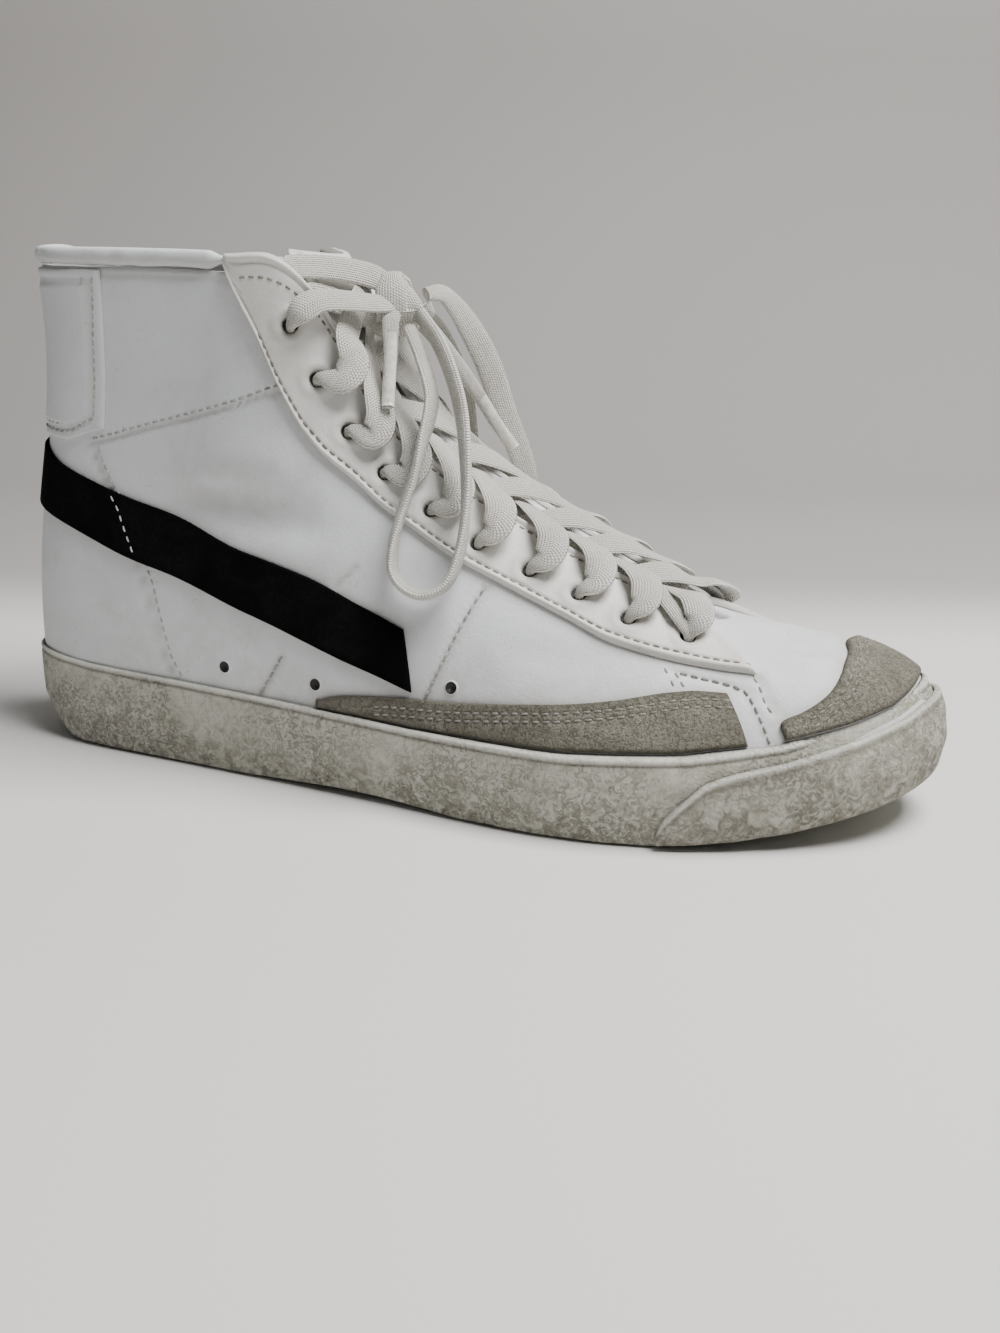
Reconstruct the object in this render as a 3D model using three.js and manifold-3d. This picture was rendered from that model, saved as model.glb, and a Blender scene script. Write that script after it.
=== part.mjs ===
// High-top lace-up basketball sneaker, right foot, as an assembly of separate pieces.
// Millimetres, +X towards the toe, +Z up, -Y the outer side of the foot.
// The origin is on the ground under the middle of the shoe.
//
// The last is a ring of sections. Each section is one curve that climbs from the sole edge to the
// opening edge, so the whole upper is last(s, v, h): s counts sections round the shoe from the back
// of the heel, v climbs from 0 at the sole to 1 at the opening, and h stands off the surface.
import * as THREE from "three";
import { mergeVertices } from "three/addons/utils/BufferGeometryUtils.js";
import Module from "manifold-3d";

const wasm = await Module();
wasm.setup();

// ---------- driving dimensions ----------
const GAP = 0.3; // between pieces that meet
const LAY = 0.5; // under a piece laid over a curved one
const UPPER_WALL = 2.2; // leather and its lining
const OVERLAY = 1.3; // leather or suede laid over the upper
const BAND_THICK = 0.9; // the black suede band
const FOXING_WALL = 3.2; // rubber tape round the sole
const TAPE_FOOT = 1.7; // its foot beside the tread
const FOXING_LIFT = 0.9; // tape edge above the tread
const TREAD = 4.2;
const INSOLE = 4.5;
const TONGUE = 4.6;
const TONGUE_UNDER = UPPER_WALL + 2.2; // the tongue's face below the upper's, with room for laces between
const LACE_WIDTH = 8;
const LACE_THICK = 1.6;
const LACE_TOLERANCE = 0.08; // how far joined laces may be smoothed
const COLLAR_ROLL_V = 0.034; // share of the wall taken by the rolled binding
const INNER_DROP = 3; // the opening is lower on the inner side

// Sections from the back of the heel to the toe tip. The sole edge is at x with one y for the outer
// and one for the inner side. The opening edge is at x, plus and minus y, z. Lean tips the wall
// outwards, rise is how far it climbs before it turns, slope is its fall in degrees where it meets
// the opening edge, and reach is how far that fall carries, as a share of the section's span.
const SECTIONS = [
  // sole x, outer, inner,  edge x, y, z,         lean, rise, slope, reach
  [-150, 0, 0, -144, 0, 160, 7, 46, 104, 0.36],
  [-149.2, -11, 10.5, -142.7, 9.8, 160, 7.5, 46, 103.5, 0.36],
  [-145, -21, 20, -138, 18.8, 160, 8.5, 46, 100, 0.36],
  [-133, -28.5, 27.5, -126.5, 25, 160, 7, 46, 98, 0.36],
  [-111, -33, 32, -105, 28, 160.2, 5, 44, 96, 0.36],
  [-84, -36.5, 34, -83, 29.5, 160.2, 3.5, 44, 94, 0.36],
  [-62, -39.5, 33.5, -65, 30.5, 160, 3, 42, 91, 0.36],
  [-44, -42, 33, -51, 29, 160, 2, 40, 88, 0.36],
  [-29, -44.5, 34, -42, 25, 152.5, 1, 38, 83, 0.34],
  [-13, -47, 36.5, -35, 20, 139, 0, 34, 75, 0.34],
  [4, -50, 40, -25.5, 17, 120, 0, 30, 66, 0.34],
  [22, -53.5, 44, -10, 15.5, 104, 0, 26, 57, 0.34],
  [42, -56, 47.5, 10, 15, 91, 1, 23, 49, 0.34],
  [62, -55.5, 49.5, 31, 14.5, 79.5, 2, 20.5, 40, 0.36],
  [82, -51.5, 48.5, 51, 13.5, 70, 3.5, 20, 32, 0.38],
  [102, -44.5, 44.5, 66, 11.5, 62.5, 5, 20.5, 24, 0.41],
  [120, -36.5, 39, 76, 9, 58.5, 5, 21.5, 15, 0.53],
  [135, -26, 32, 81.5, 5.5, 57, 4.5, 23, 9, 0.63],
  [145.5, -12, 21.5, 84, 2.5, 56.5, 4.5, 24, 6, 0.68],
  [150, 5, 5, 84.5, 0, 56.5, 4.5, 24.5, 5.5, 0.68],
];
const LAST_ROW = SECTIONS.length - 1;
const TURN = 2 * LAST_ROW; // sections in a full turn
const AROUND = 64; // facets round the shoe
const UP = new THREE.Vector3(0, 0, 1);
const WHITE = 0xdedfdf;
const TREAD_RUBBER = 0xb9b6a8;
const TAPE_RUBBER = 0xc9c7bd;
const INSOLE_CLOTH = 0xd8d4c8;
const TONGUE_LEATHER = 0xd9d7cf;
const CREAM = 0xdcdad2;
const GREY_SUEDE = 0x9a958c;
const BLACK_SUEDE = 0x151517;
const RUBBER = 0xc3c1b6;
const LACE_COLOUR = 0xe2dfd4;

// ---------- sole levels ----------
const smooth = (a, b, x) => THREE.MathUtils.smoothstep((x - a) / (b - a), 0, 1);

// Height of the tread's underside: level under heel and ball, a low arch, a rising toe.
function base(x) {
  const heel = 3.5 * Math.max(0, (-130 - x) / 20) ** 2;
  const arch = x > -62 && x < 22 ? 1.4 * Math.sin((Math.PI * (x + 62)) / 84) ** 2 : 0;
  const toe = 13 * Math.max(0, (x - 75) / 75) ** 1.8;
  return heel + arch + toe;
}
// The tray's floor, thicker under the heel.
const floorTop = (x) => base(x) + 10 + 5 * smooth(20, -90, x) - 1 * smooth(70, 130, x);
// The tape's top edge.
const TAPE_TOP = new THREE.CatmullRomCurve3(
  [
    [-150, 31], [-120, 28.5], [-60, 27], [0, 25], [50, 25], [85, 26.8], [110, 30], [130, 34.8], [142, 38.5],
    [150, 42.5],
  ].map(([x, z]) => new THREE.Vector3(x, z, 0)),
  false,
  "catmullrom",
);
function tapeTop(x) {
  let lo = 0;
  let hi = 1;
  for (let i = 0; i < 24; i++) {
    const mid = (lo + hi) / 2;
    if (TAPE_TOP.getPoint(mid).x < x) lo = mid;
    else hi = mid;
  }
  return TAPE_TOP.getPoint((lo + hi) / 2).y;
}

// ---------- the last ----------
// One value per section, outer side then back along the inner side, as a closed smooth curve.
function ring(pick) {
  const points = [];
  for (let k = 0; k < TURN; k++) {
    const inner = k > LAST_ROW;
    points.push(pick(SECTIONS[inner ? TURN - k : k], inner));
  }
  const curve = new THREE.CatmullRomCurve3(points, true, "catmullrom", 0.5);
  return (s) => curve.getPoint((((s % TURN) + TURN) % TURN) / TURN);
}
const soleEdge = ring((r, inner) => new THREE.Vector3(r[0], inner ? r[2] : r[1], 0));
const openingEdge = ring((r, inner) => {
  const drop = inner ? INNER_DROP * Math.min(1, r[4] / 25) : 0;
  return new THREE.Vector3(r[3], inner ? r[4] : -r[4], r[5] - drop);
});
const wallShape = ring((r) => new THREE.Vector3(r[6], r[7], r[8]));
const wallReach = ring((r) => new THREE.Vector3(r[9], 0, 0));

function outward(s) {
  const a = soleEdge(s - 0.3);
  const b = soleEdge(s + 0.3);
  return new THREE.Vector3(b.y - a.y, a.x - b.x, 0).normalize();
}

function surface(s, v) {
  const edge = soleEdge(s);
  const out = outward(s);
  const [lean, rise, slope] = wallShape(s).toArray();
  const foot = edge.clone().addScaledVector(out, -FOXING_WALL);
  foot.z = floorTop(foot.x) + GAP;
  const top = openingEdge(s);
  const climb = foot.clone().addScaledVector(out, lean).addScaledVector(UP, rise);
  const side = foot.clone().sub(top).setZ(0);
  const flat = side.lengthSq() > 1 ? side.normalize() : out.clone();
  if (slope > 85) flat.lerp(out, Math.min(1, (slope - 85) / 8)).normalize();
  const angle = THREE.MathUtils.degToRad(slope);
  const span = top.distanceTo(foot) * wallReach(s).x;
  const fall = top
    .clone()
    .addScaledVector(flat, span * Math.cos(angle))
    .addScaledVector(UP, -span * Math.sin(angle));
  return new THREE.CubicBezierCurve3(foot, climb, fall, top).getPoint(v);
}

function last(s, v, h = 0) {
  const p = surface(s, v);
  if (!h) return p;
  const along = surface(s + 0.05, v).sub(surface(s - 0.05, v));
  const up = surface(s, Math.min(1, v + 0.01)).sub(surface(s, Math.max(0, v - 0.01)));
  return p.addScaledVector(along.cross(up).normalize(), h);
}

// The v at which a section reaches height z, h off the surface.
function heightToV(s, z, h = 0) {
  let lo = 0;
  let hi = 1;
  for (let i = 0; i < 20; i++) {
    const mid = (lo + hi) / 2;
    if (last(s, mid, h).z < z) lo = mid;
    else hi = mid;
  }
  return (lo + hi) / 2;
}

// ---------- meshes ----------
// Rows of points joined as quads. A row may close on itself, and the rows may close on the first.
function skin(rows, { closedRow = false, closedRows = false, caps = false } = {}) {
  const position = [];
  const push = (...points) => points.forEach((p) => position.push(p.x, p.y, p.z));
  const nRows = closedRows ? rows.length : rows.length - 1;
  for (let i = 0; i < nRows; i++) {
    const a = rows[i];
    const b = rows[(i + 1) % rows.length];
    const n = closedRow ? a.length : a.length - 1;
    for (let j = 0; j < n; j++) {
      const k = (j + 1) % a.length;
      push(a[j], a[k], b[k], a[j], b[k], b[j]);
    }
  }
  if (caps) {
    const middle = (row) => row.reduce((m, p) => m.addScaledVector(p, 1 / row.length), new THREE.Vector3());
    const first = rows[0];
    const end = rows[rows.length - 1];
    first.forEach((p, j) => push(middle(first), first[(j + 1) % first.length], p));
    end.forEach((p, j) => push(middle(end), p, end[(j + 1) % end.length]));
  }
  return closed(position);
}

// Merges equal points, drops collapsed triangles and turns the faces outwards.
function closed(position) {
  const raw = new THREE.BufferGeometry();
  raw.setAttribute("position", new THREE.Float32BufferAttribute(position, 3));
  const merged = mergeVertices(raw, 1e-3);
  const p = merged.attributes.position;
  const index = [];
  let volume = 0;
  const [a, b, c] = [new THREE.Vector3(), new THREE.Vector3(), new THREE.Vector3()];
  for (let i = 0; i < merged.index.count; i += 3) {
    const t = [0, 1, 2].map((n) => merged.index.getX(i + n));
    if (t[0] === t[1] || t[1] === t[2] || t[0] === t[2]) continue;
    [a, b, c].forEach((vector, n) => vector.fromBufferAttribute(p, t[n]));
    volume += a.dot(b.clone().cross(c));
    index.push(...t);
  }
  if (volume < 0) {
    for (let i = 0; i < index.length; i += 3) {
      [index[i], index[i + 1]] = [index[i + 1], index[i]];
    }
  }
  merged.setIndex(index);
  return merged;
}

function toSolid(geometry) {
  const merged = geometry.index ? geometry : mergeVertices(geometry);
  return new wasm.Manifold(
    new wasm.Mesh({
      numProp: 3,
      vertProperties: new Float32Array(merged.attributes.position.array),
      triVerts: new Uint32Array(merged.index.array),
    }),
  );
}

function toGeometry(solid) {
  const mesh = solid.getMesh();
  const geometry = new THREE.BufferGeometry();
  const positions = new Float32Array(mesh.numVert * 3);
  for (let i = 0; i < mesh.numVert; i++) {
    positions.set(mesh.vertProperties.subarray(i * mesh.numProp, i * mesh.numProp + 3), i * 3);
  }
  geometry.setAttribute("position", new THREE.BufferAttribute(positions, 3));
  geometry.setIndex(new THREE.BufferAttribute(new Uint32Array(mesh.triVerts), 1));
  return geometry;
}

// Rings stacked into a solid whose two ends are closed straight across the shoe.
function disc(rings) {
  const position = [];
  const push = (...points) => points.forEach((p) => position.push(p.x, p.y, p.z));
  const n = rings[0].length;
  for (let i = 0; i < rings.length - 1; i++) {
    for (let j = 0; j < n; j++) {
      const k = (j + 1) % n;
      push(rings[i][j], rings[i][k], rings[i + 1][k], rings[i][j], rings[i + 1][k], rings[i + 1][j]);
    }
  }
  const cap = (row, flip) => {
    for (let i = 0; i < n / 2; i++) {
      const [a, b, c, d] = [row[i], row[i + 1], row[(n - i - 1) % n], row[(n - i) % n]];
      if (flip) push(a, c, b, a, d, c);
      else push(a, b, c, a, c, d);
    }
  };
  cap(rings[0], true);
  cap(rings[rings.length - 1], false);
  return closed(position);
}

const steps = (a, b, n) => Array.from({ length: n + 1 }, (_, i) => a + ((b - a) * i) / n);
const turn = steps(0, TURN, AROUND).slice(0, AROUND);

const shoe = new THREE.Group();
function add(name, geometry, color, roughness) {
  geometry.computeVertexNormals();
  const mesh = new THREE.Mesh(geometry, new THREE.MeshStandardMaterial({ color, roughness, metalness: 0 }));
  mesh.name = name;
  shoe.add(mesh);
}

// ---------- upper: one hollow shell, open at the collar, the throat and underneath ----------
const tapeV = turn.map((s) => heightToV(s, tapeTop(soleEdge(s).x), GAP));
const shellTop = (s) => 1 - COLLAR_ROLL_V * (1 - smooth(6, 6.4, Math.min(s, TURN - s)));
const upperV = (i, t) =>
  t < 2 ? (tapeV[i] * t) / 2 : tapeV[i] + ((shellTop(turn[i]) - tapeV[i]) * (t - 2)) / 6;
function upper() {
  const row = (t, h) =>
    turn.map((s, i) => {
      const p = last(s, upperV(i, t), h);
      if (t === 0) p.z = floorTop(p.x) + GAP;
      return p;
    });
  const levels = steps(0, 8, 8);
  const rows = [...levels.map((t) => row(t, 0)), ...levels.reverse().map((t) => row(t, -UPPER_WALL))];
  return skin(rows, { closedRow: true, closedRows: true });
}
add("upper", upper(), WHITE, 0.5);

// ---------- sole: tread plate, tray with its tape, toe bumper ----------
const inset = (s, d) => soleEdge(s).addScaledVector(outward(s), -d);

const heelward = (s) => smooth(-120, -145, soleEdge(s).x);
const toeward = (s) => smooth(85, 146, soleEdge(s).x);
const footInset = (s) => 1.6 + 3.6 * heelward(s) + 3.4 * toeward(s);

// How far the tape's outer face lies inside the sole edge, from its foot to its top.
function tapeFace(s) {
  const { x } = soleEdge(s);
  const heel = heelward(s);
  const toe = toeward(s);
  const low = base(x) + FOXING_LIFT;
  const high = tapeTop(x);
  const at = (share, depth) => {
    const p = inset(s, depth);
    p.z = low + (high - low) * share;
    return p;
  };
  return [
    at(0, footInset(s)),
    at(0.12, 0.8 + 2.6 * heel + 2.3 * toe),
    at(0.4, 0.8 * heel + 1.6 * toe),
    at(0.7, 0.2 + 2.6 * toe),
    at(0.95, 0.8 - 0.6 * heel + 5 * toe),
    at(1, 1.3 - 0.7 * heel + 5.6 * toe),
  ];
}

// A plate of rows across the shoe between matching outer and inner points.
function across(outerSide, innerSide, z, n) {
  return steps(0, 1, n).map((t) => {
    const p = outerSide.clone().lerp(innerSide, t);
    p.z = z(p.x);
    return p;
  });
}

function plate(depth, low, high, n) {
  const rows = steps(0, LAST_ROW, AROUND / 2);
  const side = (z) => rows.map((s) => across(inset(s, depth(s)), inset(TURN - s, depth(s)), z, n));
  const under = side(low);
  const over = side(high);
  const rim = rows.map((_, i) => [...under[i], ...over[i].slice().reverse()]);
  return skin(rim, { closedRow: true });
}

// The tread's main lugs are the bars between grooves across the heel and the ball.
const GROOVE_WIDTH = 2.4;
const GROOVE_DEPTH = 1.6;
const GROOVES = [-126, -114, -102, -88, -76, 20, 32, 43, 57, 69, 81, 93, 105, 117, 129];
function outsole() {
  const depth = (s) => footInset(s) + TAPE_FOOT + GAP;
  let tread = toSolid(plate(depth, base, (x) => base(x) + TREAD, 4));
  for (const x of GROOVES) {
    const top = base(x) + GROOVE_DEPTH;
    const height = 20;
    const groove = new THREE.BoxGeometry(GROOVE_WIDTH, 140, height).translate(x, 0, top - height / 2);
    tread = tread.subtract(toSolid(closed(Array.from(groove.toNonIndexed().attributes.position.array))));
  }
  return toGeometry(tread);
}
add("outsole", outsole(), TREAD_RUBBER, 0.8);

function soleTray() {
  const faces = turn.map(tapeFace);
  const rings = [];
  const underside = (x) => base(x) + TREAD + GAP;
  const ringAt = (depth, z) =>
    turn.map((s) => {
      const p = inset(s, footInset(s) + depth);
      p.z = z(p.x);
      return p;
    });
  rings.push(ringAt(TAPE_FOOT, underside));
  rings.push(ringAt(TAPE_FOOT, (x) => base(x) + FOXING_LIFT));
  for (let k = 0; k < faces[0].length; k++) rings.push(faces.map((f) => f[k]));
  rings.push(turn.map((s, i) => last(s, tapeV[i], 1.5 * GAP)));
  rings.push(turn.map((s, i) => last(s, tapeV[i] * 0.5, 2 * GAP)));
  rings.push(
    turn.map((s) => {
      const p = last(s, 0, 1.5 * GAP);
      p.z = floorTop(p.x);
      return p;
    }),
  );
  return disc(rings);
}
add("sole_tray", soleTray(), TAPE_RUBBER, 0.75);

// ---------- the insole lies inside the upper on the tray's floor ----------
function insole() {
  const depth = UPPER_WALL + GAP + 0.3;
  const level = (z, draw) =>
    turn.map((s) => {
      const p = last(s, heightToV(s, z(soleEdge(s).x) + 2), -depth - draw);
      p.z = z(p.x);
      return p;
    });
  const low = (x) => floorTop(x) + GAP;
  return disc([level(low, 0.4), level((x) => low(x) + INSOLE, 0)]);
}
add("insole", insole(), INSOLE_CLOTH, 0.9);

// ---------- patches laid over a surface ----------
// A value looked up between [s, v] pairs.
function table(pairs) {
  return (s) => {
    let i = 1;
    while (i < pairs.length - 1 && pairs[i][0] < s) i++;
    const [[s0, v0], [s1, v1]] = [pairs[i - 1], pairs[i]];
    return v0 + (v1 - v0) * Math.min(1, Math.max(0, (s - s0) / (s1 - s0)));
  };
}
const mirrored = (f) => (s) => f(Math.min(s, TURN - s));

// A patch runs from section s0 to s1 between two levels, from h0 to h1 off the surface.
function patch(place, s0, s1, ns, low, high, nv, h0, h1) {
  const rows = steps(s0, s1, ns).map((s) => {
    const levels = steps(0, 1, nv).map((t) => low(s) + (high(s) - low(s)) * t);
    return [...levels.map((v) => place(s, v, h1)), ...levels.reverse().map((v) => place(s, v, h0))];
  });
  return skin(rows, { closedRow: true, caps: true });
}
const aboveTape = (s, h) => heightToV(s, tapeTop(soleEdge(s).x) + GAP + 0.2, h);

const EYESTAY_EDGE = table([
  [5.95, 0.989], [6.14, 0.939], [6.71, 0.837], [7.19, 0.754], [7.79, 0.69], [8.4, 0.667], [9.4, 0.682],
  [10.66, 0.71], [11.3, 0.704], [11.8, 0.703], [12.42, 0.697], [12.95, 0.684], [13.53, 0.655], [14.3, 0.65],
  [15.54, 0.647], [15.8, 0.64],
]);
const SIDE_EDGE = table([
  [7.69, 0.118], [8.02, 0.138], [9.06, 0.184], [10.99, 0.284], [12.35, 0.363], [13.39, 0.44], [14.24, 0.512],
  [14.7, 0.533], [15.1, 0.535],
]);
const CAP_EDGE = table([
  [15.6, 0.3], [15.68, 0.4], [16.08, 0.436], [16.55, 0.486], [17.28, 0.588], [17.72, 0.639], [18.79, 0.702],
  [19, 0.707],
]);
const BAND_TOP = table([
  [0, 0.603], [1.9, 0.585], [2.86, 0.554], [4.54, 0.4856], [6.35, 0.4222], [8.68, 0.39], [9.9, 0.405],
]);
const BAND_LOW = table([
  [0, 0.47], [1.9, 0.445], [2.94, 0.4252], [4.56, 0.3513], [6.31, 0.2882], [8.57, 0.239], [9.9, 0.243],
]);

const tab = (s) => 0.606 + 0.03 * smooth(3, 3.75, Math.abs(s));
const tabTop = () => 1 - COLLAR_ROLL_V - 0.003;
const place = (s, v, h) => last(s, v, h);
add("heel_tab", patch(place, -3.75, 3.75, 12, tab, tabTop, 4, LAY + 0.15, LAY + OVERLAY), WHITE, 0.5);

for (const [side, at] of [["outer", place], ["inner", (s, v, h) => last(TURN - s, v, h)]]) {
  const stay = patch(at, 6.1, 15.78, 22, EYESTAY_EDGE, () => 1, 3, LAY, LAY + OVERLAY);
  add("eyestay_" + side, stay, CREAM, 0.5);
  const suede = (s) => aboveTape(side === "outer" ? s : TURN - s, GAP);
  const edge = (s) => Math.max(SIDE_EDGE(s), suede(s) + 0.02);
  const panel = patch(at, 7.75, 15.1, 16, suede, edge, 3, LAY, LAY + OVERLAY);
  add("side_panel_" + side, panel, GREY_SUEDE, 0.95);
  const band = patch(at, 0.15, 9.9, 20, BAND_LOW, BAND_TOP, 2, LAY, LAY + BAND_THICK);
  add("side_band_" + side, band, BLACK_SUEDE, 0.9);
}
const capLow = (s) => aboveTape(s, GAP);
const cap = patch(place, 15.64, TURN - 15.64, 22, capLow, mirrored(CAP_EDGE), 3, LAY, LAY + OVERLAY);
add("toe_cap", cap, GREY_SUEDE, 0.95);

// ---------- toe bumper, a second strip over the tape ----------
function tapePlace(s, share, h) {
  const face = tapeFace(s);
  const shares = [0, 0.12, 0.4, 0.7, 0.95, 1];
  let i = 1;
  while (i < 5 && shares[i] < share) i++;
  const p = face[i - 1].clone().lerp(face[i], (share - shares[i - 1]) / (shares[i] - shares[i - 1]));
  const up = face[i].clone().sub(face[i - 1]).normalize();
  const a = soleEdge(s - 0.1);
  const along = soleEdge(s + 0.1).sub(a).setZ(0).normalize();
  return p.addScaledVector(along.cross(up).normalize(), h);
}
const BUMPER_EDGE = table([
  [13.75, 0.08], [13.82, 0.28], [14.11, 0.53], [14.43, 0.73], [14.83, 0.8], [15.43, 0.83], [17.2, 0.86],
  [19, 0.87],
]);
const BUMPER_LAY = LAY + 0.4; // clear of the faceted tape
const bumper = patch(
  tapePlace, 13.76, TURN - 13.76, 26, () => 0.04, mirrored(BUMPER_EDGE), 2, BUMPER_LAY, BUMPER_LAY + OVERLAY,
);
add("toe_bumper", bumper, RUBBER, 0.8);

// ---------- rolled collar binding ----------
function roll() {
  const rows = steps(-5.95, 5.95, 28).map((s) => {
    const low = 1 - COLLAR_ROLL_V + 0.004;
    const middle = (low + 1.004) / 2;
    return steps(0, 2 * Math.PI, 7)
      .slice(1)
      .map((a) => {
        const v = Math.min(1, middle + ((1.004 - low) / 2) * Math.sin(a));
        return last(s, v, -1.1 + 2.2 * Math.cos(a));
      });
  });
  return skin(rows, { closedRow: true, caps: true });
}
add("collar_roll", roll(), WHITE, 0.5);

// ---------- tongue ----------
// Cross sections of the tongue's two faces: under one eyestay, over the middle, under the other.
function tongueRow(s, h, crown, drift = new THREE.Vector3()) {
  const one = [0.84, 0.92, 0.99].map((v) => last(s, v, h));
  const two = [0.84, 0.92, 0.99].map((v) => last(TURN - s, v, h)).reverse();
  const ahead = last(s + 0.3, 1).add(last(TURN - s - 0.3, 1));
  const behind = last(s - 0.3, 1).add(last(TURN - s + 0.3, 1));
  const n = ahead.sub(behind).setY(0).normalize().cross(new THREE.Vector3(0, 1, 0));
  const middle = one[2].clone().add(two[0]).multiplyScalar(0.5).addScaledVector(n, crown);
  return new THREE.CatmullRomCurve3([...one, middle, ...two].map((p) => p.add(drift)), false, "centripetal");
}
const TONGUE_TOP = [
  // centre x, z then wing x, y, z
  [-34.5, 149, -44.5, 17.5, 150],
  [-40, 158.5, -51, 17, 160],
];
function tongueTop([x, z, wingX, wingY, wingZ], thick) {
  const points = [-1, -0.6, 0, 0.6, 1].map((t) => {
    const k = t * t;
    const y = wingY * t * (1 - 0.08 * thick);
    return new THREE.Vector3(x + (wingX - x) * k - thick * (1 - 0.35 * k), y, z + (wingZ - z) * k);
  });
  return new THREE.CatmullRomCurve3(points, false, "centripetal");
}
function tongue() {
  const near = TONGUE_UNDER;
  const drift = new THREE.Vector3(8, 0, -4.9);
  const sections = [16.4, 15.6, 14.6, 13.6, 12.6, 11.6, 10.6, 9.8, 9.2];
  const face = (h, crown, thick) => [
    tongueRow(16.6, -h, crown, drift),
    ...sections.map((s) => tongueRow(s, -h, crown)),
    ...TONGUE_TOP.map((r) => tongueTop(r, thick)),
  ];
  const outer = face(near, 3.2, 0).map((c) => c.getSpacedPoints(10));
  const inner = face(near + TONGUE, 1.4, TONGUE).map((c) => c.getSpacedPoints(10).reverse());
  return skin(outer.map((row, i) => [...row, ...inner[i]]), { closedRow: true, caps: true });
}
add("tongue", tongue(), TONGUE_LEATHER, 0.6);

// ---------- laces ----------
const EYELETS = [
  [7.5, 0.885], [8.24, 0.818], [9.11, 0.782], [10.07, 0.8], [11, 0.81], [11.75, 0.797], [12.53, 0.801],
  [13.24, 0.799], [13.93, 0.775], [14.93, 0.779],
];
// A flat lace along points, turned so its broad side faces the given directions.
function ribbon(points, facing, n, width = LACE_WIDTH, thick = LACE_THICK) {
  const path = new THREE.CatmullRomCurve3(points, false, "centripetal");
  const rows = steps(0, 1, n).map((t) => {
    const p = path.getPoint(t);
    const k = Math.min(facing.length - 2, Math.floor(t * (facing.length - 1)));
    const normal = facing[k].clone().lerp(facing[k + 1], t * (facing.length - 1) - k).normalize();
    const across = path.getTangent(t).cross(normal).normalize();
    const up = across.clone().cross(path.getTangent(t)).normalize();
    const corner = (a, b) => p.clone().addScaledVector(across, a * width).addScaledVector(up, b * thick);
    return [corner(-0.5, 0.5), corner(0.5, 0.5), corner(0.5, -0.5), corner(-0.5, -0.5)];
  });
  return skin(rows, { closedRow: true, caps: true });
}
const sideLast = (inner) => (s, v, h) => last(inner ? TURN - s : s, v, h);
function normalAt(at, s, v) {
  return at(s, v, 1).sub(at(s, v, 0)).normalize();
}
// The middle of the throat at section s, raised off the tongue.
function tongueMiddle(s) {
  if (s > 9.2) return tongueRow(s, -TONGUE_UNDER, 3.2).getPoint(0.5);
  const [low, high] = TONGUE_TOP.map(([x, z]) => new THREE.Vector3(x, 0, z));
  if (s > 8.2) return low.lerp(tongueMiddle(9.201), s - 8.2);
  return high.lerp(low, (s - 7) / 1.2);
}
function throat(s, lift) {
  const slope = tongueMiddle(s + 0.3).sub(tongueMiddle(s - 0.3)).setY(0).normalize();
  const n = slope.cross(new THREE.Vector3(0, 1, 0));
  return { p: tongueMiddle(s).addScaledVector(n, lift), n };
}
function crossing(k, inner) {
  const [s1, v1] = EYELETS[k + 1];
  const [s0] = EYELETS[k];
  const near = sideLast(inner);
  const far = sideLast(!inner);
  const off = LAY + OVERLAY + 2 * LAY + LACE_THICK / 2;
  const mid = throat((s0 + s1) / 2, inner ? 4.6 : 3.4);
  const s2 = s1 * 0.8 + s0 * 0.2;
  const end = s0;
  const points = [
    near(s1, v1 + 0.012, off + 0.8),
    near(s1 * 0.92 + s0 * 0.08, (v1 + 1) / 2, off + 2.3),
    near(s2, 1, off + 2.3),
    mid.p,
    far(end, 0.985, off + (k ? 1.9 : 3.4)),
  ];
  const facing = [
    normalAt(near, s1, v1), normalAt(near, s1, 0.9), normalAt(near, s2, 0.99), mid.n, normalAt(far, end, 0.99),
  ];
  return ribbon(points, facing, 6);
}
function laceBars() {
  const off = LAY + OVERLAY + 2 * LAY + LACE_THICK / 2;
  const [s, v] = EYELETS[9];
  const one = sideLast(false);
  const two = sideLast(true);
  const mid = throat(s, 3.6);
  const points = [
    one(s, v + 0.012, off + 0.8), one(s, (v + 1) / 2, off + 1.8), one(s, 1, off + 1.6), mid.p,
    two(s, 1, off + 1.6), two(s, (v + 1) / 2, off + 1.8), two(s, v + 0.012, off + 0.8),
  ];
  const facing = [
    normalAt(one, s, v), normalAt(one, s, 0.9), normalAt(one, s, 0.99), mid.n,
    normalAt(two, s, 0.99), normalAt(two, s, 0.9), normalAt(two, s, v),
  ];
  let joined = toSolid(ribbon(points, facing, 10));
  for (let k = 0; k < 9; k++) {
    for (const inner of [false, true]) joined = joined.add(toSolid(crossing(k, inner)));
  }
  // small voids where two laces touch are filled
  return toGeometry(joined.decompose().sort((a, b) => b.volume() - a.volume())[0].simplify(LACE_TOLERANCE));
}
add("lace_bars", laceBars(), LACE_COLOUR, 0.85);

// ---------- bow: knot, two loops, two ends with their tips ----------
// A cord is an eight-sided section extruded along its route.
function cord(points, radius, pieces) {
  const path = new THREE.CatmullRomCurve3(points.map((p) => new THREE.Vector3(...p)), false, "centripetal");
  const corner = (i) => {
    const angle = (i * Math.PI) / 4;
    return new THREE.Vector2(Math.cos(angle), Math.sin(angle)).multiplyScalar(radius);
  };
  const section = new THREE.Shape(steps(0, 7, 7).map(corner));
  const extruded = new THREE.ExtrudeGeometry(section, { steps: pieces, extrudePath: path });
  return closed(Array.from(extruded.attributes.position.array));
}
const LOOP_RADIUS = 2.1;
const END_RADIUS = 2;
const KNOT = [-21, -4, 146.5];
const KNOT_HALF = [6.4, 6.8, 8];
const knot = new THREE.SphereGeometry(1, 10, 7).scale(...KNOT_HALF).rotateY(-0.5).translate(...KNOT);
add("lace_knot", knot, LACE_COLOUR, 0.85);

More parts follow.
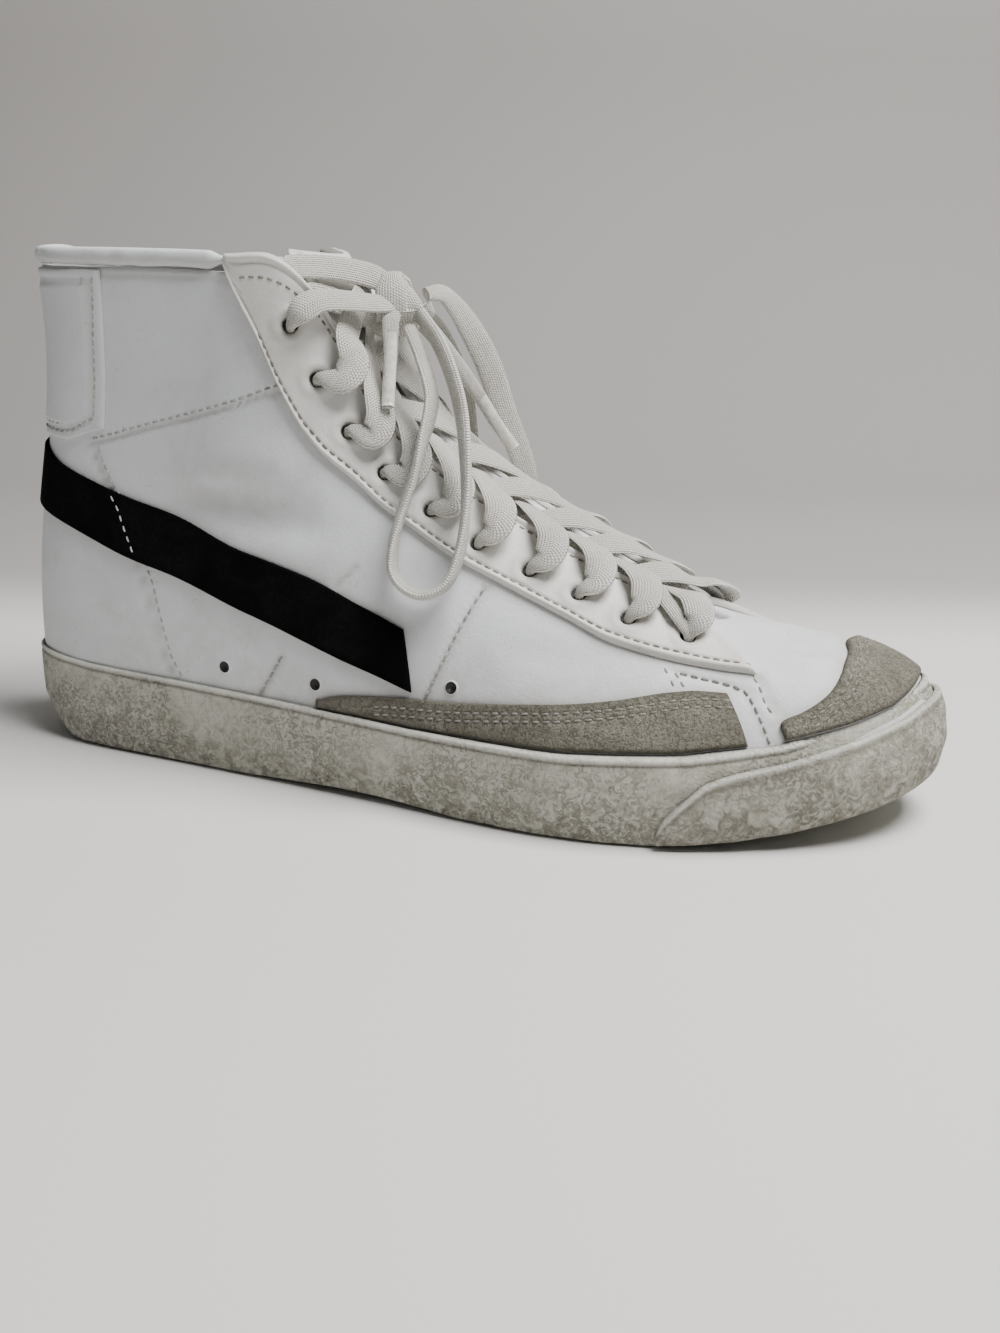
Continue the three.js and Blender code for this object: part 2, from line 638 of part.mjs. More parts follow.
const LOOP_OUTER = [
  [-14.2, -11.5, 139.5], [-8.5, -15, 130], [-3.3, -20.5, 118.9], [-3.8, -26.5, 107], [-5.5, -30.8, 95.8],
  [-7.8, -35.5, 84], [-8.2, -38.5, 76], [-6.5, -41.2, 69.5], [-1.2, -42.3, 65.6], [4.6, -42, 65.2],
  [9.8, -39.8, 69], [12.4, -36.2, 79], [12.4, -32.5, 92], [10.2, -28, 105.9], [6.8, -22.5, 116.5],
  [1.6, -17, 126.5], [-5, -11.5, 135.5], [-12.6, -7.6, 143.4],
];
const LOOP_INNER = [
  [-13.6, 0.6, 148.6], [-9.5, 6, 148], [-4.5, 13, 139], [0.5, 19, 126], [4.5, 24, 110],
  [8.5, 30.5, 95], [9, 35.5, 84], [5, 38.5, 77.5], [-1, 39, 76], [-6, 36.8, 80],
  [-8.5, 33, 90], [-8.5, 28, 104], [-9.5, 21.5, 121], [-13, 12, 136], [-15.8, 3.6, 143],
];
const END_OUTER = [
  [-19.6, -12.2, 142.2], [-19, -14.4, 138], [-18, -16.6, 132.8], [-16.9, -20.3, 124.7], [-15.8, -24, 116.7],
];
const END_INNER = [
  [-13.2, -1.5, 139.6], [-6, 3.5, 129.5], [1.5, 8, 117.5], [6.5, 11, 108.5], [11, 13.4, 101.5],
];
add("lace_loop_outer", cord(LOOP_OUTER, LOOP_RADIUS, 22), LACE_COLOUR, 0.85);
add("lace_loop_inner", cord(LOOP_INNER, LOOP_RADIUS, 20), LACE_COLOUR, 0.85);
add("lace_end_outer", cord(END_OUTER, END_RADIUS, 4), LACE_COLOUR, 0.7);
add("lace_end_inner", cord(END_INNER, END_RADIUS, 6), LACE_COLOUR, 0.7);

shoe.position.set(-0.28, 2.95, 0); // centres the whole box over the origin
export default shoe;
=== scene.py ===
"""A worn high-top lace-up sneaker, right foot, empty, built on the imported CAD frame.

Sizes are millimetres in the shoe's own frame and become metres when a mesh is made.
+X runs to the toe, +Z up, -Y to the outer side of the foot.
"""
import math

import bpy
import numpy as np
from mathutils import Matrix


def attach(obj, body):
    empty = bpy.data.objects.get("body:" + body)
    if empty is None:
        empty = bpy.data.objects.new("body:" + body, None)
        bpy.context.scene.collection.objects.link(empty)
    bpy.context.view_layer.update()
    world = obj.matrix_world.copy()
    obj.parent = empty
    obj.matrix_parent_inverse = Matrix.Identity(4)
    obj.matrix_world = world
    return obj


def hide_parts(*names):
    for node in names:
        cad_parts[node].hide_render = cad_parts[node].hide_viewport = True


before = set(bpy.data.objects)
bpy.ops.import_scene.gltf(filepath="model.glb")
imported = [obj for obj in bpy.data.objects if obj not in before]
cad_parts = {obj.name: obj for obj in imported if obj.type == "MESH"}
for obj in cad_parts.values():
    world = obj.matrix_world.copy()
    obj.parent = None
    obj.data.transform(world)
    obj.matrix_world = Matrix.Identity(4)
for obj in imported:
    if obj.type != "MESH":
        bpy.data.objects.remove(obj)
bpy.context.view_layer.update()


# ---------------------------------------------------------------------------------------------
# Upper: the hollow high-top shell of thin white leather, glued to a grey textile lining and pulled over the
# last. The seams between its parts are pressed in and hold dirt. Three small vents with raised
# lips are set low on each side.
# ---------------------------------------------------------------------------------------------
MM = 0.001

# The shoe's own frame sits off the row frame, whose origin is under the middle of the whole box.
SHIFT = np.array([-0.28, 2.95, 0.0])
UP = np.array([0.0, 0.0, 1.0])
GAP = 0.3  # clearance between neighbouring pieces
UPPER_WALL = 2.2  # thickness of leather and lining
FOXING_WALL = 3.2  # from the edge of the sole in to the foot of the upper
INNER_DROP = 3.0  # how much lower the opening lies on the inner side
COLLAR_ROLL_V = 0.034  # share of the wall taken by the rolled binding
WALL_HEIGHT = 120  # millimetres of wall for v from 0 to 1

# The last from heel to toe: the edge of the sole, the edge of the opening, and how the wall between them
# leaves the sole and reaches the opening. Lengths in millimetres, slope in degrees, reach a share.
SECTIONS = np.array([
    # sole x, outer, inner,  edge x, y, z,         lean, rise, slope, reach
    [-150, 0, 0, -144, 0, 160, 7, 46, 104, 0.36],
    [-149.2, -11, 10.5, -142.7, 9.8, 160, 7.5, 46, 103.5, 0.36],
    [-145, -21, 20, -138, 18.8, 160, 8.5, 46, 100, 0.36],
    [-133, -28.5, 27.5, -126.5, 25, 160, 7, 46, 98, 0.36],
    [-111, -33, 32, -105, 28, 160.2, 5, 44, 96, 0.36],
    [-84, -36.5, 34, -83, 29.5, 160.2, 3.5, 44, 94, 0.36],
    [-62, -39.5, 33.5, -65, 30.5, 160, 3, 42, 91, 0.36],
    [-44, -42, 33, -51, 29, 160, 2, 40, 88, 0.36],
    [-29, -44.5, 34, -42, 25, 152.5, 1, 38, 83, 0.34],
    [-13, -47, 36.5, -35, 20, 139, 0, 34, 75, 0.34],
    [4, -50, 40, -25.5, 17, 120, 0, 30, 66, 0.34],
    [22, -53.5, 44, -10, 15.5, 104, 0, 26, 57, 0.34],
    [42, -56, 47.5, 10, 15, 91, 1, 23, 49, 0.34],
    [62, -55.5, 49.5, 31, 14.5, 79.5, 2, 20.5, 40, 0.36],
    [82, -51.5, 48.5, 51, 13.5, 70, 3.5, 20, 32, 0.38],
    [102, -44.5, 44.5, 66, 11.5, 62.5, 5, 20.5, 24, 0.41],
    [120, -36.5, 39, 76, 9, 58.5, 5, 21.5, 15, 0.53],
    [135, -26, 32, 81.5, 5.5, 57, 4.5, 23, 9, 0.63],
    [145.5, -12, 21.5, 84, 2.5, 56.5, 4.5, 24, 6, 0.68],
    [150, 5, 5, 84.5, 0, 56.5, 4.5, 24.5, 5.5, 0.68],
])
LAST_ROW = len(SECTIONS) - 1
TURN = 2 * LAST_ROW


def unit(a):
    """Vectors scaled to length 1."""
    return a / np.maximum(np.linalg.norm(a, axis=-1, keepdims=True), 1e-9)


def smooth(a, b, x):
    """0 before a, 1 after b, and a soft step between."""
    t = np.clip((np.asarray(x, float) - a) / (b - a), 0, 1)
    return t * t * (3 - 2 * t)


def hump(x, centre, width):
    """1 at centre, falling softly to 0 over about twice width."""
    return np.exp(-(((x - centre) / width) ** 2))


def run_length(points):
    """Distance along a row of points, from its first."""
    return np.concatenate([[0], np.cumsum(np.linalg.norm(np.diff(points, axis=0), axis=-1))])


# Sole levels, in millimetres above the floor.
def base(x):
    """Height of the ground line, which springs up at the heel, the arch and the toe."""
    heel = 3.5 * np.maximum(0, (-130 - x) / 20) ** 2
    arch = np.where((x > -62) & (x < 22), 1.4 * np.sin(np.pi * (x + 62) / 84) ** 2, 0)
    return heel + arch + 13 * np.maximum(0, (x - 75) / 75) ** 1.8


def floor_top(x):
    """Height of the floor inside the shoe."""
    return base(x) + 10 + 5 * smooth(20, -90, x) - smooth(70, 130, x)


# The last: s runs round the shoe, v from the sole to the opening, and h is the height off the surface.
def ring(pick):
    """One row for each place round the shoe: out along the outer side and back along the inner one."""
    rows = [SECTIONS[TURN - k if k > LAST_ROW else k] for k in range(TURN)]
    return np.array([pick(row, k > LAST_ROW) for k, row in enumerate(rows)], float)


SOLE_EDGE = ring(lambda r, inner: [r[0], r[2] if inner else r[1], 0])
OPENING = ring(
    lambda r, inner: [r[3], r[4] if inner else -r[4], r[5] - INNER_DROP * min(1, r[4] / 25) * inner]
)
WALL = ring(lambda r, inner: [r[6], r[7], r[8], r[9]])


def closed_curve(points, s):
    """Points of a smooth closed curve through a ring of points, at places s along it."""
    s = np.mod(s, TURN)
    i = np.floor(s).astype(int) % TURN
    w = (s - np.floor(s))[..., None]
    p0, p1, p2, p3 = (points[(i + k) % TURN] for k in (-1, 0, 1, 2))
    t1 = 0.5 * (p2 - p0)
    t2 = 0.5 * (p3 - p1)
    return p1 + t1 * w + (3 * (p2 - p1) - 2 * t1 - t2) * w**2 + (2 * (p1 - p2) + t1 + t2) * w**3


def outward(s):
    """Level direction away from the shoe, at places s round the edge of the sole."""
    d = closed_curve(SOLE_EDGE, s + 0.3) - closed_curve(SOLE_EDGE, s - 0.3)
    return unit(np.stack([d[..., 1], -d[..., 0], 0 * d[..., 0]], -1))


def surface(s, v):
    """The smooth wall of the last: one cubic curve for each place s, from its foot to the opening."""
    out = outward(s)
    wall = closed_curve(WALL, s)
    foot = closed_curve(SOLE_EDGE, s) - out * FOXING_WALL
    foot[..., 2] = floor_top(foot[..., 0]) + GAP
    top = closed_curve(OPENING, s)
    climb = foot + out * wall[..., :1] + UP * wall[..., 1:2]
    side = (foot - top) * [1, 1, 0]
    flat = np.where(np.linalg.norm(side, axis=-1, keepdims=True) > 1, unit(side), out)
    turn_out = np.clip((wall[..., 2:3] - 85) / 8, 0, 1)
    flat = unit(flat * (1 - turn_out) + out * turn_out)
    angle = np.radians(wall[..., 2:3])
    span = np.linalg.norm(top - foot, axis=-1, keepdims=True) * wall[..., 3:4]
    fall = top + flat * span * np.cos(angle) - UP * span * np.sin(angle)
    v = v[..., None]
    return foot * (1 - v) ** 3 + 3 * climb * v * (1 - v) ** 2 + 3 * fall * v**2 * (1 - v) + top * v**3


SIDES = {1: "outer", -1: "inner"}


def sided(s, side):
    """s itself on the outer side, and its mirror image on the inner side."""
    return s if side > 0 else TURN - s


def spread(s, v):
    """s and v as arrays of one shape."""
    return np.broadcast_arrays(np.asarray(s, float), np.asarray(v, float))


def bare(s, v, h=0.0):
    """The plain last, without creases."""
    s, v = spread(s, v)
    along = surface(s + 0.05, v) - surface(s - 0.05, v)
    up = surface(s, np.minimum(1, v + 0.01)) - surface(s, np.maximum(0, v - 0.01))
    return surface(s, v) + unit(np.cross(along, up)) * np.asarray(h, float)[..., None]


# Creases and soft folds: (s, v) points, half width, depth. A negative depth is a ridge.
CREASES = [
    ([(4.9, 0.57), (5.7, 0.6), (6.6, 0.615), (7.5, 0.6)], 9, -2.0),
    ([(5.0, 0.5), (6.0, 0.515), (7.0, 0.51), (7.9, 0.5)], 7, 2.3),
    ([(5.0, 0.44), (6.0, 0.43), (7.0, 0.435), (8.2, 0.46)], 7, -1.5),
    ([(30, 0.57), (31, 0.56), (32, 0.57), (33, 0.55)], 9, -1.0),
    ([(30, 0.5), (31, 0.49), (32, 0.5), (33, 0.47)], 7, 1.2),
    ([(3.2, 0.75), (4.2, 0.72), (5.2, 0.74)], 12, 0.7),
    ([(11.9, 0.5), (12.6, 0.52), (13.6, 0.6)], 5, 0.5),
    ([(15.9, 0.72), (16.6, 0.66), (17.4, 0.62)], 2.4, 0.5),
    ([(16.1, 0.84), (17.2, 0.76), (18.4, 0.71), (19.5, 0.7)], 2.8, 0.6),
    ([(16.0, 0.78), (17.0, 0.71), (18.2, 0.665), (19.4, 0.66)], 2.2, -0.4),
    ([(16.3, 0.92), (17.6, 0.83), (19.0, 0.79), (20.6, 0.8)], 2.6, 0.5),
    ([(20.2, 0.72), (21.2, 0.75), (22.0, 0.82)], 2.6, 0.5),
    ([(14.9, 0.585), (15.6, 0.53), (15.9, 0.45)], 2.2, 0.25),
]


def polyline(points, n=40):
    """n points along the straight lines between the given ones."""
    p = np.asarray(points, float)
    t = np.linspace(0, len(p) - 1, n)
    return np.stack([np.interp(t, np.arange(len(p)), p[:, k]) for k in range(p.shape[1])], -1)


def relief_map(ns=760, nv=140):
    """Heights of the creases and of soft unevenness, over a grid of s and v."""
    s, v = np.meshgrid(np.linspace(0, TURN, ns), np.linspace(0, 1, nv), indexing="ij")
    points = bare(s, v)
    relief = np.zeros((ns, nv))
    for line, width, depth in CREASES:
        path = polyline(line)
        centre = bare(path[:, 0], path[:, 1])
        gap = np.full((ns, nv), 1e9)
        share = np.zeros((ns, nv))
        for k, c in enumerate(centre):
            d = np.linalg.norm(points - c, axis=-1)
            share = np.where(d < gap, k / (len(centre) - 1), share)
            gap = np.minimum(gap, d)
        fade = np.sqrt(np.clip(np.sin(np.pi * (0.04 + 0.92 * share)), 0, 1))
        relief -= depth * fade * hump(gap, 0, width)
    x, y, z = points[..., 0], points[..., 1], points[..., 2]
    relief += 0.28 * np.sin(x / 19 + 0.7 * np.sin(z / 17)) * np.sin(z / 14 + y / 23)
    calm = smooth(0.02, 0.2, v) * smooth(1.0, 0.93, v)
    return relief * calm


RELIEF = relief_map()


def relief(s, v):
    """Height of the creases at any s and v."""
    ns, nv = RELIEF.shape
    a = np.mod(s, TURN) / TURN * (ns - 1)
    b = np.clip(v, 0, 1) * (nv - 1)
    i = np.minimum(a.astype(int), ns - 2)
    j = np.minimum(b.astype(int), nv - 2)
    fa, fb = a - i, b - j
    low = RELIEF[i, j] * (1 - fa) + RELIEF[i + 1, j] * fa
    high = RELIEF[i, j + 1] * (1 - fa) + RELIEF[i + 1, j + 1] * fa
    return low * (1 - fb) + high * fb


def last(s, v, h=0.0):
    """A point of the creased last, h millimetres off it."""
    s, v = spread(s, v)
    return bare(s, v, np.asarray(h, float) + relief(s, v))


def normal(s, v):
    """Direction straight off the plain last."""
    s, v = spread(s, v)
    return unit(bare(s, v, np.ones_like(s)) - bare(s, v, np.zeros_like(s)))


# Meshes, made from grids of points in millimetres.
def linked(name, data):
    """A new object in the scene."""
    obj = bpy.data.objects.new(name, data)
    bpy.context.collection.objects.link(obj)
    return obj


def make_mesh(name, verts, faces, material, uv=None, slots=None, paint=None):
    """One object on the root body from millimetre vertices and their faces, with painted masks by name."""
    verts = np.asarray(verts, float)
    mesh = bpy.data.meshes.new(name)
    mesh.from_pydata(((verts + SHIFT) * MM).tolist(), [], [list(map(int, f)) for f in faces])
    materials = material if isinstance(material, (list, tuple)) else [material]
    for m in materials:
        mesh.materials.append(m)
    if slots is not None:
        mesh.polygons.foreach_set("material_index", np.asarray(slots, dtype=np.int32))
    if uv is not None:
        layer = mesh.uv_layers.new(name="UVMap")
        index = np.empty(len(mesh.loops), dtype=np.int32)
        mesh.loops.foreach_get("vertex_index", index)
        layer.data.foreach_set("uv", np.asarray(uv, float)[index].ravel())
    for key, values in (paint or {}).items():
        mask = mesh.attributes.new(key, "FLOAT", "POINT")
        mask.data.foreach_set("value", np.clip(np.asarray(values, float), 0, 1).ravel())
    mesh.polygons.foreach_set("use_smooth", np.ones(len(mesh.polygons), dtype=bool))
    mesh.update()
    obj = linked(name, mesh)
    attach(obj, "root")
    return obj


def quads(ni, nj, start=0, ring_i=False, ring_j=False, flip=False):
    """Faces of a grid of ni by nj points. A ring joins its last row to its first."""
    rows, columns = np.arange(ni if ring_i else ni - 1), np.arange(nj if ring_j else nj - 1)
    i, j = np.meshgrid(rows, columns, indexing="ij")
    i2, j2 = (i + 1) % ni, (j + 1) % nj
    f = np.stack([i * nj + j, i2 * nj + j, i2 * nj + j2, i * nj + j2], -1).reshape(-1, 4) + start
    return f[:, ::-1] if flip else f


def turned_out(verts, faces):
    """The faces, all flipped if the closed mesh they make is inside out."""
    p = verts[faces]
    volume = (np.cross(p[:, 0], p[:, 1]) * p[:, 2]).sum() + (np.cross(p[:, 0], p[:, 2]) * p[:, 3]).sum()
    return faces[:, ::-1] if volume < 0 else faces


def shell(name, outer, inner, material, ring_i=False, inner_slot=None, paint=None):
    """A closed wall between two grids of points of one size. A ring closes on itself along i."""
    ni, nj = outer.shape[:2]
    top = outer.reshape(-1, 3)
    low = inner.reshape(-1, 3)
    n = ni * nj
    faces = [quads(ni, nj, 0, ring_i), quads(ni, nj, n, ring_i, flip=True)]
    count_top = len(faces[0])
    i = np.arange(ni if ring_i else ni - 1)
    i2 = (i + 1) % ni
    for j, flip in ((0, False), (nj - 1, True)):
        f = np.stack([i2 * nj + j, i * nj + j, n + i * nj + j, n + i2 * nj + j], -1)
        faces.append(f[:, ::-1] if flip else f)
    if not ring_i:
        j = np.arange(nj - 1)
        for k, flip in ((0, False), (ni - 1, True)):
            f = np.stack([k * nj + j, k * nj + j + 1, n + k * nj + j + 1, n + k * nj + j], -1)
            faces.append(f[:, ::-1] if flip else f)
    verts = np.concatenate([top, low])
    all_faces = turned_out(verts, np.concatenate(faces))
    slots = None
    if inner_slot is not None:
        slots = np.zeros(len(all_faces), int)
        slots[count_top : 2 * count_top] = inner_slot
    u = run_length(outer[:, nj // 2])
    v = run_length(outer[ni // 2])
    grid = np.stack(np.meshgrid(u, v, indexing="ij"), -1).reshape(-1, 2) * MM
    masks = {key: np.concatenate([mask.ravel(), mask.ravel()]) for key, mask in (paint or {}).items()}
    uv = np.concatenate([grid, grid])
    return make_mesh(name, verts, all_faces, material, uv=uv, slots=slots, paint=masks)


# Shader nodes, and the groups that several finishes share.
class Tree:
    """Adds nodes to a node tree. An input is a value, or a socket to link."""

    def __init__(self, tree):
        self.tree = tree

    def add(self, kind, inputs=None, **settings):
        node = self.tree.nodes.new("ShaderNode" + kind)
        for key, value in settings.items():
            setattr(node, key, value)
        for key, value in (inputs or {}).items():
            if isinstance(value, bpy.types.NodeSocket):
                self.tree.links.new(value, node.inputs[key])
            else:
                node.inputs[key].default_value = value
        return node

    def math(self, operation, a, b=0.5, clamp=False):
        return self.add("Math", {0: a, 1: b}, operation=operation, use_clamp=clamp).outputs[0]

    def times(self, a, b, clamp=False):
        return self.math("MULTIPLY", a, b, clamp)

    def plus(self, a, b, clamp=False):
        return self.math("ADD", a, b, clamp)

    def noise(self, where, scale, detail=4.0, rough=0.55, warp=0.0):
        given = {"Vector": where, "Scale": scale, "Detail": detail, "Roughness": rough, "Distortion": warp}
        return self.add("TexNoise", given).outputs["Fac"]

    def remap(self, value, low, high, to_low=0.0, to_high=1.0):
        given = {"Value": value, "From Min": low, "From Max": high, "To Min": to_low, "To Max": to_high}
        return self.add("MapRange", given, clamp=True, interpolation_type="SMOOTHSTEP").outputs[0]

    def mix(self, share, a, b):
        node = self.add("Mix", data_type="RGBA", clamp_factor=True)
        for socket, value in ((node.inputs[0], share), (node.inputs[6], a), (node.inputs[7], b)):
            if isinstance(value, bpy.types.NodeSocket):
                self.tree.links.new(value, socket)
            else:
                socket.default_value = value
        return node.outputs[2]


def group(name, inputs, outputs, build):
    """A node group from vectors to values. build(tree, inputs by name) returns output sockets by name."""
    tree = bpy.data.node_groups.new(name, "ShaderNodeTree")
    for key in inputs:
        tree.interface.new_socket(key, in_out="INPUT", socket_type="NodeSocketVector")
    for key in outputs:
        tree.interface.new_socket(key, in_out="OUTPUT", socket_type="NodeSocketFloat")
    start = tree.nodes.new("NodeGroupInput")
    end = tree.nodes.new("NodeGroupOutput")
    for key, socket in build(Tree(tree), start.outputs).items():
        tree.links.new(socket, end.inputs[key])
    return tree


def rgb(r, g, b):
    """A colour as a node's socket takes it."""
    return (r, g, b, 1.0)


def build_grain(t, i):
    """Fine pebbled grain with soft wrinkles, as a height."""
    given = {"Vector": i["Where"], "Scale": 1500.0, "Randomness": 1.0}
    cells = t.add("TexVoronoi", given, feature="SMOOTH_F1")
    pebble = t.remap(cells.outputs["Distance"], 0.0, 0.9)
    wrinkle = t.noise(i["Where"], 170.0, 5.0, 0.62, 0.8)
    pores = t.noise(i["Where"], 2400.0, 2.0)
    low = t.times(wrinkle, 1.4)
    both = t.plus(low, t.times(pebble, -0.28))
    return {"Height": t.plus(both, t.times(pores, 0.12))}


GRAIN = group("leather_grain", ["Where"], ["Height"], build_grain)


def build_grime(t, i):
    """Blotchy dirt that gathers low on the shoe, and small dark scuffs."""
    height = t.add("SeparateXYZ", {"Vector": i["Where"]}).outputs["Z"]
    low = t.remap(height, 0.075, 0.02)
    blotch = t.noise(i["Where"], 28.0, 7.0, 0.6, 0.4)
    fine = t.noise(i["Where"], 160.0, 6.0, 0.65, 0.2)
    spread_ = t.times(t.remap(blotch, 0.42, 0.72), t.remap(fine, 0.3, 0.75))
    near_ground = t.times(low, t.remap(fine, 0.25, 0.7, 0.1, 0.6))
    soil = t.plus(t.times(spread_, 0.75), near_ground, clamp=True)
    scuff = t.remap(t.noise(i["Where"], 260.0, 3.0, 0.7, 1.4), 0.655, 0.72)
    speck = t.remap(t.noise(i["Where"], 900.0, 1.0), 0.7, 0.78)
    return {"Soil": soil, "Scuff": t.plus(scuff, speck, clamp=True)}


GRIME = group("grime", ["Where"], ["Soil", "Scuff"], build_grime)


def material(name, build):
    """build(tree, object coordinates) returns the Principled inputs, with Height and Bump in metres."""
    m = bpy.data.materials.new(name)
    m.use_nodes = True
    m.node_tree.nodes.clear()
    t = Tree(m.node_tree)
    where = t.add("TexCoord").outputs["Object"]
    given = build(t, where)
    height = given.pop("Height", None)
    if height is not None:
        bump = t.add("Bump", {"Height": height, "Strength": 1.0, "Distance": given.pop("Bump")})
        given["Normal"] = bump.outputs[0]
    surface_node = t.add("BsdfPrincipled", given)
    out = t.add("OutputMaterial")
    m.node_tree.links.new(surface_node.outputs[0], out.inputs[0])
    return m


def use(t, tree, inputs):
    """Places a node group in a material and links its inputs."""
    node = t.add("Group")
    node.node_tree = tree
    for key, value in inputs.items():
        t.tree.links.new(value, node.inputs[key])
    return node.outputs


def painted(t, name):
    """A mask painted on the piece's own vertices."""
    return t.add("Attribute", attribute_name=name).outputs["Fac"]


def leather(name, clean, tint, soil, roughness=0.47, bump=0.00013):
    """Smooth coated leather with dirt along its seams and near the sole, and painted shade in its folds and
    grooves.
    """

    def build(t, where):
        grime = use(t, GRIME, {"Where": where})
        grain = use(t, GRAIN, {"Where": where})["Height"]
        tone = t.remap(t.noise(where, 14.0, 5.0, 0.6, 0.5), 0.3, 0.7)
        colour = t.mix(tone, clean, tint)
        # the painted mask darkens with dirt and with painted shade alike
        share = t.plus(t.times(grime["Soil"], 0.4), painted(t, "soil"), clamp=True)
        colour = t.mix(share, colour, soil)
        colour = t.mix(t.times(grime["Scuff"], 0.22), colour, rgb(0.16, 0.145, 0.125))
        # painted shade: holes are painted near black, as the dark inside a real hole would look
        colour = t.mix(painted(t, "hole"), colour, rgb(0.012, 0.011, 0.01))
        rough = t.plus(t.times(share, 0.3), roughness)
        return {
            "Base Color": colour, "Roughness": rough, "Specular IOR Level": 0.4,
            "Height": grain, "Bump": bump,
        }

    return material(name, build)


WHITE = leather("white_leather", rgb(0.78, 0.805, 0.83), rgb(0.71, 0.73, 0.755), rgb(0.45, 0.42, 0.37))
LINING = leather("lining", rgb(0.34, 0.33, 0.31), rgb(0.27, 0.26, 0.24), rgb(0.16, 0.14, 0.12), 0.8)

# Seams and edges on the last, as (s, v).
EYESTAY_LINE = [
    [5.95, 0.989], [6.14, 0.939], [6.71, 0.837], [7.19, 0.754], [7.79, 0.69], [8.4, 0.667], [9.4, 0.682],
    [10.66, 0.71], [11.3, 0.704], [11.8, 0.703], [12.42, 0.697], [12.95, 0.684], [13.53, 0.655], [14.3, 0.65],
    [15.54, 0.647], [15.8, 0.64],
]
SIDE_LINE = [
    [7.69, 0.118], [8.02, 0.138], [9.06, 0.184], [10.99, 0.284], [12.35, 0.363],
    [13.39, 0.44], [14.24, 0.512], [14.7, 0.533], [15.1, 0.535],
]
CAP_LINE = [
    [15.6, 0.3], [15.68, 0.4], [16.08, 0.436], [16.55, 0.486], [17.28, 0.588], [17.72, 0.639], [18.79, 0.702],
    [19, 0.707],
]
BAND_TOP = [
    [0, 0.603], [1.9, 0.585], [2.86, 0.554], [4.54, 0.4856], [6.35, 0.4222], [8.68, 0.39], [9.9, 0.405],
]
BAND_LOW = [
    [0, 0.47], [1.9, 0.445], [2.94, 0.4252], [4.56, 0.3513], [6.31, 0.2882], [8.57, 0.239], [9.9, 0.243],
]
SEAMS = {
    "rise": [(3.53, 0.603), (4.5, 0.648), (5.8, 0.702), (7.19, 0.754)],
    "down": [(3.53, 0.603), (3.67, 0.559), (4.08, 0.472), (4.49, 0.311), (4.75, 0.147), (4.9, 0.1)],
    "quarter": [(11.71, 0.668), (10.16, 0.246)],
    "short": [(6.93, 0.209), (6.43, 0.105)],
    "middle": [(8.88, 0.472), (8.37, 0.4085)],
}
VENTS = [(5.77, 0.151), (7.72, 0.16), (10.73, 0.311)]
VAMP_LINE = [
    (14.42, 0.608), (15.03, 0.592), (15.22, 0.58), (15.35, 0.559), (15.37, 0.52), (15.36, 0.42), (15.36, 0.3),
]
VAMP_BACK = [(15.78, 0.64), (15.74, 0.563), (15.67, 0.493), (15.7, 0.442)]


def near_points(points, line, width):
    """1 on a line of (s, v) points on either side of the last, falling softly over width millimetres."""
    gap = np.full(points.shape[:-1], 1e9)
    sv = polyline(line, 90)
    for side in SIDES:
        s = sided(sv[:, 0], side)
        for c in bare(s, sv[:, 1]):
            gap = np.minimum(gap, np.linalg.norm(points - c, axis=-1))
    return hump(gap, 0, width)


def shell_top(s):
    """Where the shell ends under the collar binding, as a share of the wall."""
    return 1 - COLLAR_ROLL_V * (1 - smooth(6, 6.4, np.minimum(s, TURN - s)))


def build_upper():
    """The hollow shell in white leather with its grey lining. Seams are pressed in and hold dirt. Beside the
    overlays' edges the leather is darkened partly by dirt and partly by painted shade, and in crease troughs
    and under the collar binding by painted shade.
    """
    ns, nv = 400, 112
    s = np.linspace(0, TURN, ns, endpoint=False)
    v = shell_top(s)[:, None] * np.linspace(0, 1, nv)[None]
    s = np.broadcast_to(s[:, None], v.shape)
    flat = last(s, v)
    seams = np.zeros(v.shape)
    for line in SEAMS.values():
        seams = np.maximum(seams, near_points(flat, line, 0.9))
    for line in (VAMP_LINE, VAMP_BACK):
        seams = np.maximum(seams, near_points(flat, line, 0.8) * 0.8)
    edges = np.zeros(v.shape)
    for line in (EYESTAY_LINE, SIDE_LINE, CAP_LINE, BAND_TOP, BAND_LOW):
        edges = np.maximum(edges, near_points(flat, line, 2.2))
    below_roll = (shell_top(s) - v) * WALL_HEIGHT
    under_roll = hump(below_roll, 1.2, 1.1) * (np.minimum(s, TURN - s) < 6.2)
    depth = 0.75 * seams + 0.5 * under_roll
    outer = last(s, v, -depth)
    inner = last(s, v, -UPPER_WALL - 0.4)
    for grid in (outer, inner):
        grid[:, 0, 2] = floor_top(grid[:, 0, 0]) + GAP
    trough = np.clip(-relief(s, v) - 0.3, 0, 1)
    # painted colour: seams hold dirt; beside overlay edges it is part dirt, part painted shade; crease
    # troughs and the strip under the binding are painted shade
    soil = 0.3 * edges + 0.4 * seams + 0.1 * trough + 0.3 * under_roll
    upper = shell(
        "upper_shell", outer, inner, [WHITE, LINING], ring_i=True, inner_slot=1, paint={"soil": soil},
    )
    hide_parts("upper")


build_upper()


